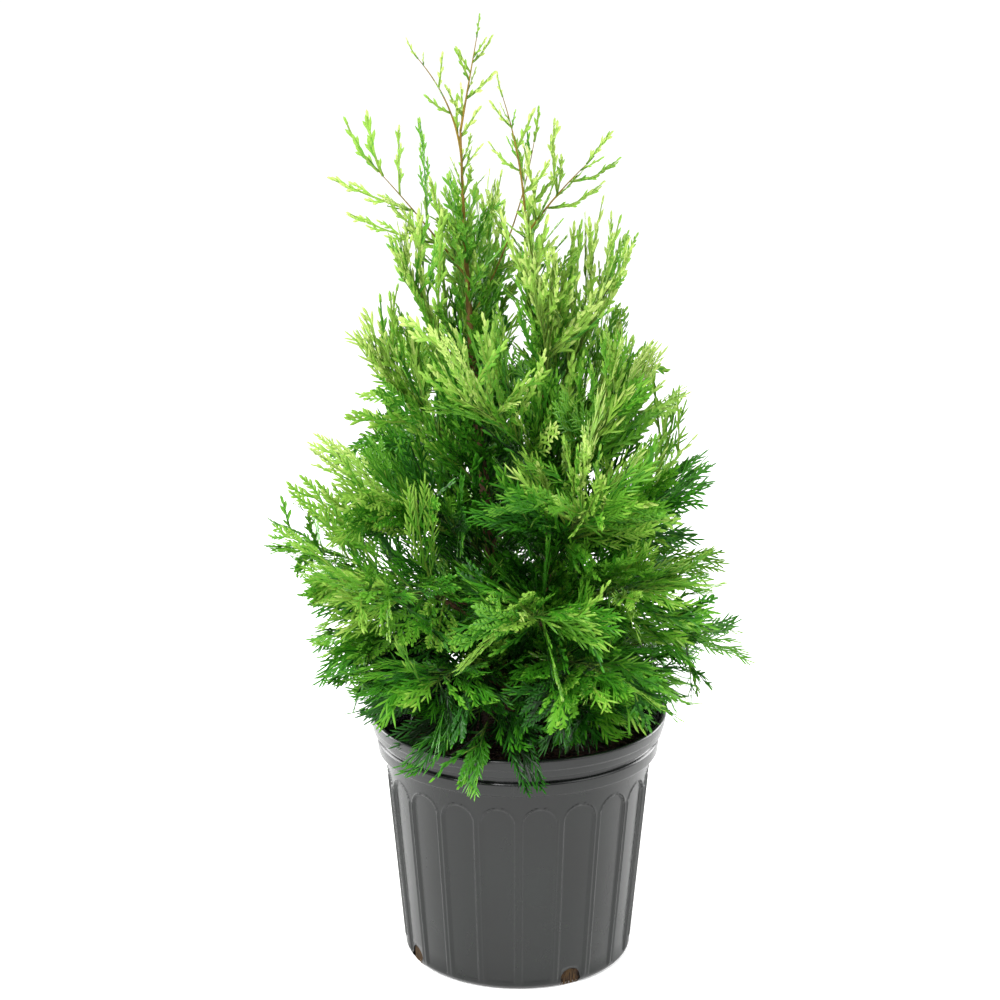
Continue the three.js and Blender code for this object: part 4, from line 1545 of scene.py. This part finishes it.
def pot_mesh(settings):
    """The pot's points and faces, closed below and inside."""
    profile = pot_profile()
    columns = PANEL_COUNT * PANEL_COLUMNS
    azimuths = circle_of(columns)
    radii, heights = (np.repeat(values[:, None], columns, 1) for values in profile.T)
    is_outside = (np.arange(len(profile)) < np.argmax(profile[:, 1]))[:, None]
    is_wall = is_outside & (heights > PANEL_FOOT) & (heights < WALL_END)
    inset = panel_inset(azimuths[None], heights, settings.panel_depth / MM, settings.bead / MM)
    lip = np.clip((heights - (POT_HEIGHT - LIP_DEPTH)) / LIP_DEPTH, 0, 1) * settings.lip_wave / MM
    wave = (2 + np.sin(3 * azimuths + 0.6) + 0.6 * np.sin(5 * azimuths + 2)) / 3.6  # from 0 to 1
    radii = radii - np.where(is_wall, inset, 0) - lip * wave
    heights = heights - lip * np.roll(wave, columns // 7) * LIP_SINK
    return capped(around_axis(radii, azimuths, heights), [[0, 0, 0], [0, 0, WALL_THICKNESS]])


def arch_cutter():
    """The outline of a drain hole as a closed block that runs through the wall."""
    angles = np.linspace(0, math.pi, 13)
    radius = DRAIN_WIDTH / 2
    arc = np.column_stack([radius * np.cos(angles), DRAIN_HEIGHT - radius + radius * np.sin(angles)])
    outline = np.vstack([[[-radius, -CUT_BELOW], [radius, -CUT_BELOW]], arc])
    count = len(outline)
    depths = (CUT_REACH - FOOT_RADIUS, -CUT_REACH - FOOT_RADIUS)
    rings = [np.column_stack([outline[:, 0], np.full(count, depth), outline[:, 1]]) for depth in depths]
    side = np.arange(count)
    beside = (side + 1) % count
    lower = np.column_stack([side, side + count, beside + count])
    upper = np.column_stack([side, beside + count, beside])
    fan = np.array([[0, i, i + 1] for i in range(1, count - 1)])
    faces = np.vstack([lower, upper, fan, fan[:, ::-1] + count])
    return np.vstack(rings), faces[:, ::-1]


def turned(points, azimuth):
    """Points turned about the pot's axis from azimuth 0."""
    cos, sin = math.cos(azimuth), math.sin(azimuth)
    return points @ np.array([[cos, sin, 0], [-sin, cos, 0], [0, 0, 1]])


def drain_azimuths():
    return [2 * math.pi * (DRAIN_PANEL / PANEL_COUNT + i / DRAIN_HOLES) for i in range(DRAIN_HOLES)]


def cut(piece, points, faces):
    """Cuts a closed shape out of a piece."""
    cutter = add_piece("cutter", points, faces, [])
    modifier = piece.modifiers.new("cut", "BOOLEAN")
    modifier.object, modifier.solver = cutter, "EXACT"
    evaluated = piece.evaluated_get(bpy.context.evaluated_depsgraph_get())
    whole = bpy.data.meshes.new_from_object(evaluated)
    piece.modifiers.clear()
    piece.data = whole
    bpy.data.objects.remove(cutter)


# ---------------------------------------------------------------- operators


class ThujaPot(bpy.types.Operator):
    """Make the pot with its stepped rim, arched panels and drain holes"""

    bl_idname = "thuja.pot"
    bl_label = "Pot"

    def execute(self, context):
        settings = context.scene.thuja_pot
        points, faces = pot_mesh(settings)
        pot = add_piece("nursery_pot", points, faces, [pot_finish(settings)], "pot_plastic", smooth=True)
        block, block_faces = arch_cutter()
        blocks = joined([(turned(block, azimuth), block_faces) for azimuth in drain_azimuths()])
        cut(pot, *blocks)
        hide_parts("pot")
        return {"FINISHED"}


class ThujaSoil(bpy.types.Operator):
    """Make the soil with its clods and chips of bark"""

    bl_idname = "thuja.soil"
    bl_label = "Soil"

    def execute(self, context):
        settings = context.scene.thuja_pot
        finish = soil_finish(settings)
        soil = add_piece("potting_mix", *soil_mesh(), [finish], "potting_soil", smooth=True)
        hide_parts("soil")
        chip = bark_finish("chips", settings.soil_damp, settings.soil_dry, 300)
        add_piece("soil_chips", *chip_mesh(), [chip], "potting_soil")
        return {"FINISHED"}


def soil_surface(radius):
    edge = wall_radius(SOIL_EDGE_HEIGHT) - WALL_THICKNESS - CLEARANCE
    return np.interp(
        radius,
        [0, SOIL_FLAT_RADIUS, SOIL_FLAT_RADIUS * 2.2, edge],
        [SOIL_HEIGHT, SOIL_HEIGHT, SOIL_HEIGHT - SOIL_DIP, SOIL_EDGE_HEIGHT],
    )


def ground_noise(points, size, cells, seed):
    """Noise over level ground, in lumps of this size, from a grid with so many cells each way."""
    place = np.moveaxis(points[..., :2], -1, 0) / size + cells / 2
    return smooth_noise(place, (cells, cells), (True, True), seed)


def soil_mesh():
    """The body of soil, bumpy on top."""
    inset = WALL_THICKNESS + CLEARANCE
    sides = [(wall_radius(height) - inset, height) for height in SOIL_ROWS]
    edge = wall_radius(SOIL_EDGE_HEIGHT) - inset
    top = [(radius, soil_surface(radius)) for radius in np.linspace(edge, 2, SOIL_RINGS)]
    profile = np.array([(1, SOIL_ROWS[0]), *sides, *top])
    rings = around_axis(profile[:, :1], circle_of(SOIL_COLUMNS), profile[:, 1:])
    upper = rings[len(sides) + 2 :]
    clods = ground_noise(upper, CLOD_SIZE, CLOD_CELLS, 5) * CLOD_HEIGHT
    crumbs = ground_noise(upper, CRUMB_SIZE, CRUMB_CELLS, 6) * CRUMB_HEIGHT
    upper[..., 2] += np.minimum(clods + crumbs - SOIL_SINK, HIGHEST_BUMP)
    return capped(rings, [[0, 0, SOIL_ROWS[0]], [0, 0, SOIL_HEIGHT - 1]])


def spun(first, second, angle):
    """Two coordinates turned by an angle in their plane."""
    return first * np.cos(angle) - second * np.sin(angle), first * np.sin(angle) + second * np.cos(angle)


def chip_mesh():
    """Flat chips of bark and wood that lie on the soil."""
    random = np.random.default_rng(12)
    radius = CHIP_REACH * np.sqrt(random.uniform(0.004, 1, CHIP_COUNT))
    azimuth = random.uniform(0, 2 * math.pi, CHIP_COUNT)
    centres = around_axis(radius, azimuth, soil_surface(radius) - CHIP_SINK)
    ranges = (CHIP_LENGTHS, CHIP_WIDTHS, CHIP_HEIGHTS)
    sizes = np.column_stack([random.uniform(*limits, CHIP_COUNT) for limits in ranges])
    corners = np.array([[x, y, z] for x in (-1, 1) for y in (-1, 1) for z in (-1, 1)], float)
    corners = corners * random.uniform(0.6, 1, (CHIP_COUNT, 8, 1)) * sizes[:, None]
    turn = random.uniform(0, math.pi, CHIP_COUNT)[:, None]
    lean = random.uniform(-0.5, 0.5, CHIP_COUNT)[:, None]
    x, y, z = np.moveaxis(corners, -1, 0)
    x, z = spun(x, z, lean)
    x, y = spun(x, y, turn)
    points = np.stack([x, y, z], -1) + centres[:, None]
    quads = [[0, 1, 3, 2], [4, 6, 7, 5], [0, 4, 5, 1], [2, 3, 7, 6], [0, 2, 6, 4], [1, 5, 7, 3]]
    box = np.array([[quad[0], quad[i], quad[i + 1]] for quad in quads for i in (1, 2)])
    faces = box[None] + 8 * np.arange(CHIP_COUNT)[:, None, None]
    return points.reshape(-1, 3), faces.reshape(-1, 3)


class ThujaRoots(bpy.types.Operator):
    """Make the fine roots that show in the drain holes"""

    bl_idname = "thuja.roots"
    bl_label = "Roots"

    def execute(self, context):
        light = context.scene.thuja_pot.root_colour
        finish = bark_finish("roots", [ROOT_DARKNESS * channel for channel in light], light, ROOT_GRAIN)
        random = np.random.default_rng(31)
        feet = np.linspace(-ROOT_ROW, ROOT_ROW, ROOTS_PER_HOLE)
        strands = [root_strand(azimuth, foot, random) for azimuth in drain_azimuths() for foot in feet]
        add_piece("fine_roots", *joined(strands), [finish], "potting_soil", smooth=True)
        return {"FINISHED"}


def root_strand(azimuth, foot, random):
    """A root that climbs behind a drain hole on the face of the soil and bends towards the hole's middle."""
    shares = np.linspace(0, 1, ROOT_POINTS)
    waves = np.sin(shares * math.pi * random.uniform(*ROOT_WAVES))
    wander = waves * random.uniform(-ROOT_WANDER, ROOT_WANDER)
    heights = ROOT_FOOT + random.uniform(*ROOT_HEIGHTS) * shares
    sideways = np.clip(foot * (1 - ROOT_BEND * shares**2) + wander, -ROOT_REACH, ROOT_REACH)
    depth = wall_radius(heights) - WALL_THICKNESS - ROOT_SEAT
    points = np.column_stack([sideways, -np.sqrt(depth**2 - sideways**2), heights])
    return tube(turned(points, azimuth), np.full(ROOT_POINTS, random.uniform(*ROOT_RADII)), 5)


class ThujaStems(bpy.types.Operator):
    """Make the trunk and the second leader with their bark"""

    bl_idname = "thuja.stems"
    bl_label = "Trunk and leader"

    def execute(self, context):
        settings = context.scene.thuja_plant
        finish = bark_finish("bark", settings.bark_dark, settings.bark_light, 190, settings.bark_young)
        start = share_at_height(trunk_curve, SOIL_HEIGHT + CLEARANCE)
        trunk_part = trunk_curve.part(trunk_curve.parameter(start), 1)

        def radius_at(share):
            thinning = graded(TOP_THINNING, np.clip((share - THINS_FROM) / THINS_OVER, 0, 1))
            return trunk_radius(start + (1 - start) * share) * thinning

        shape = barked(trunk_part, radius_at, rings=260, sides=40, depth=settings.bark_depth, seed=3)
        trunk = add_piece("trunk_bark", *shape, [finish], "bark", smooth=True)
        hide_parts("trunk")
        shape = barked(leader_curve, leader_radius, rings=200, sides=28, depth=settings.bark_depth, seed=8)
        leader = add_piece("leader_bark", *shape, [finish], "bark", smooth=True)
        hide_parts("second_leader")
        return {"FINISHED"}


class ThujaBoughs(bpy.types.Operator):
    """Make the woody boughs"""

    bl_idname = "thuja.boughs"
    bl_label = "Boughs"

    def execute(self, context):
        settings = context.scene.thuja_plant
        finish = bark_finish("young bark", settings.twig_dark, settings.bark_light, 260)
        looks = {"rings": 40, "sides": 14, "depth": settings.bark_depth * BOUGH_RELIEF}
        shapes = [barked(bough, bough_radius, seed=20 + i, **looks) for i, bough in enumerate(boughs)]
        piece = add_piece("bough_bark", *joined(shapes), [finish], "young_bark", smooth=True)
        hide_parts(*[f"bough_{branch.name}" for branch in branches if branch.bough])
        return {"FINISHED"}


class ThujaTwigs(bpy.types.Operator):
    """Make the ribs of the masses and the stalks of their sprays"""

    bl_idname = "thuja.twigs"
    bl_label = "Twigs"

    def execute(self, context):
        settings = context.scene.thuja_plant
        kinds = (("twigs", False, settings.stalk), ("top_twigs", True, settings.bark_young))
        for name, is_top, young in kinds:
            finish = bark_finish(name, settings.twig_dark, settings.twig_light, 420, young)
            shapes = [rib_shape(branch) for branch in branches if (branch.tier == "tops") == is_top]
            add_piece(name, *joined(shapes), [finish], "young_bark", smooth=True)
        grown = [*grown_sprays(settings.density), inner_sprays()]
        stalks = [stalk_shape(spray) for sprays in grown for spray in sprays]
        green = bark_finish("stalks", settings.leaf_dark, settings.stalk, 300)
        add_piece("spray_stalks", *joined(stalks), [green], "young_bark", smooth=True)
        return {"FINISHED"}


def rib_shape(branch):
    shares = np.linspace(0, 1, RIB_POINTS)
    return tube(branch.rib.point(shares), RIB_THINNING * taper(TWIG_RADIUS, RIB_TIP_RADIUS)(shares), 7)


def stalk_shape(spray):
    """The bare foot of a spray's stem, from the rib."""
    along = np.linspace(0, STALK_SHARE, STALK_POINTS) * spray.length
    points = bent(spray.origin + spray.axes[0] * along[:, None], along, spray.length, spray.lift)
    return tube(points, np.linspace(*STALK_RADII, STALK_POINTS), 5)


def add_sprays(name, sprays, finishes, slot):
    points, faces, colours = spray_mesh(sprays, len(finishes) - 1)
    return add_piece(name, points, faces, finishes, slot, colours)


class ThujaFoliage(bpy.types.Operator):
    """Make the leafy sprays of every tier and the short ones inside the crown"""

    bl_idname = "thuja.foliage"
    bl_label = "Foliage"

    def execute(self, context):
        settings = context.scene.thuja_plant
        finishes = leaf_finishes(settings)
        grown = grown_sprays(settings.density)
        for tier in tiers:
            members = [i for i, branch in enumerate(branches) if branch.tier == tier]
            sprays = [spray for i in members for spray in grown[i]]
            slot = "fresh_foliage" if tier in ("high", "tops") else "foliage"
            piece = add_sprays(f"{tier}_sprays", sprays, finishes, slot)
            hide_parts(*[f"foliage_{branches[i].name}" for i in members])
        add_sprays("inner_sprays", inner_sprays(), finishes, "foliage")
        return {"FINISHED"}


class ThujaStage(bpy.types.Operator):
    """Set the floor, the lights and the camera"""

    bl_idname = "thuja.stage"
    bl_label = "Stage"

    def execute(self, context):
        settings = context.scene.thuja_stage
        make_floor(settings)
        make_lights(settings)
        make_camera(settings)
        context.scene.view_settings.view_transform = "Standard"
        return {"FINISHED"}


def make_floor(settings):
    corners = [(FLOOR_REACH * x, FLOOR_REACH * y, 0) for x, y in ((-1, -1), (1, -1), (1, 1), (-1, 1))]
    floor = bpy.data.meshes.new("floor")
    floor.from_pydata(corners, [], [[0, 1, 2, 3]])
    glow = {"Emission Color": (1, 1, 1, 1), "Emission Strength": settings.floor_glow}
    finish = Finish("floor", {"Roughness": 0.7, "Specular IOR Level": 0.2, **glow})
    finish.colour(finish.mix(finish.noise(3, 2) * FLOOR_GRAIN, opaque(settings.floor_colour), (1, 1, 1, 1)))
    floor.materials.append(finish.material)
    placed("floor", floor)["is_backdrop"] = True


def make_lights(settings):
    world = bpy.data.worlds.new("soft light")
    sky = Shading(world)
    towards = sky.node("ShaderNodeTexCoord", {}, {}, "Generated")
    depth = sky.node("ShaderNodeSeparateXYZ", {}, {"Vector": towards}, "Y")
    room = sky.ramp(0.5 + 0.5 * depth, [(0.08, settings.dark_side), (0.5, 1)])
    background = world.node_tree.nodes["Background"].inputs
    sky.feed(background["Color"], room)
    sky.feed(background["Strength"], settings.sky)
    bpy.context.scene.world = world
    for name, place, size in LAMPS:
        add_lamp(name, place, getattr(settings, f"{name}_power"), size)


def add_lamp(name, place, power, size):
    lamp = bpy.data.lights.new(name, "AREA")
    lamp.energy, lamp.size = power, size
    piece = placed(name, lamp)
    piece.location = place
    x, y, z = LAMP_AIM - place
    piece.rotation_euler = (math.pi / 2 + math.atan2(z, math.hypot(x, y)), 0, math.atan2(-x, y))


def make_camera(settings):
    camera = bpy.data.cameras.new("camera")
    camera.lens, camera.sensor_width = settings.lens, SENSOR_WIDTH
    piece = placed("camera", camera)
    piece.location = CAMERA_PLACE
    piece.rotation_euler = (math.radians(90 - CAMERA_PITCH), 0, 0)
    bpy.context.scene.camera = piece


# ---------------------------------------------------------------- add-on

PIECES = [ThujaPot, ThujaSoil, ThujaRoots, ThujaStems, ThujaBoughs, ThujaTwigs, ThujaFoliage, ThujaStage]


class ThujaPanel(bpy.types.Panel):
    """Lists the pieces of the potted thuja"""

    bl_idname = "VIEW3D_PT_thuja"
    bl_label = "Potted thuja"
    bl_space_type = "VIEW_3D"
    bl_region_type = "UI"
    bl_category = "Thuja"

    def draw(self, context):
        for piece in PIECES:
            self.layout.operator(piece.bl_idname)


SETTINGS = {
    "thuja_plant": ThujaPlantSettings,
    "thuja_pot": ThujaPotSettings,
    "thuja_stage": ThujaStageSettings,
}


def register():
    for cls in [*SETTINGS.values(), *PIECES, ThujaPanel]:
        bpy.utils.register_class(cls)
    for name, cls in SETTINGS.items():
        setattr(bpy.types.Scene, name, PointerProperty(type=cls))


def unregister():
    for name in SETTINGS:
        delattr(bpy.types.Scene, name)
    for cls in [ThujaPanel, *PIECES[::-1], *SETTINGS.values()]:
        bpy.utils.unregister_class(cls)


def main():
    register()
    for piece in PIECES:
        getattr(bpy.ops.thuja, piece.bl_idname.split(".")[1])()
    boxes = {"cad": cad_box, "visual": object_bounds()}
    {name: [list(corner) for corner in box] for name, box in boxes.items()}


if __name__ == "__main__":
    main()
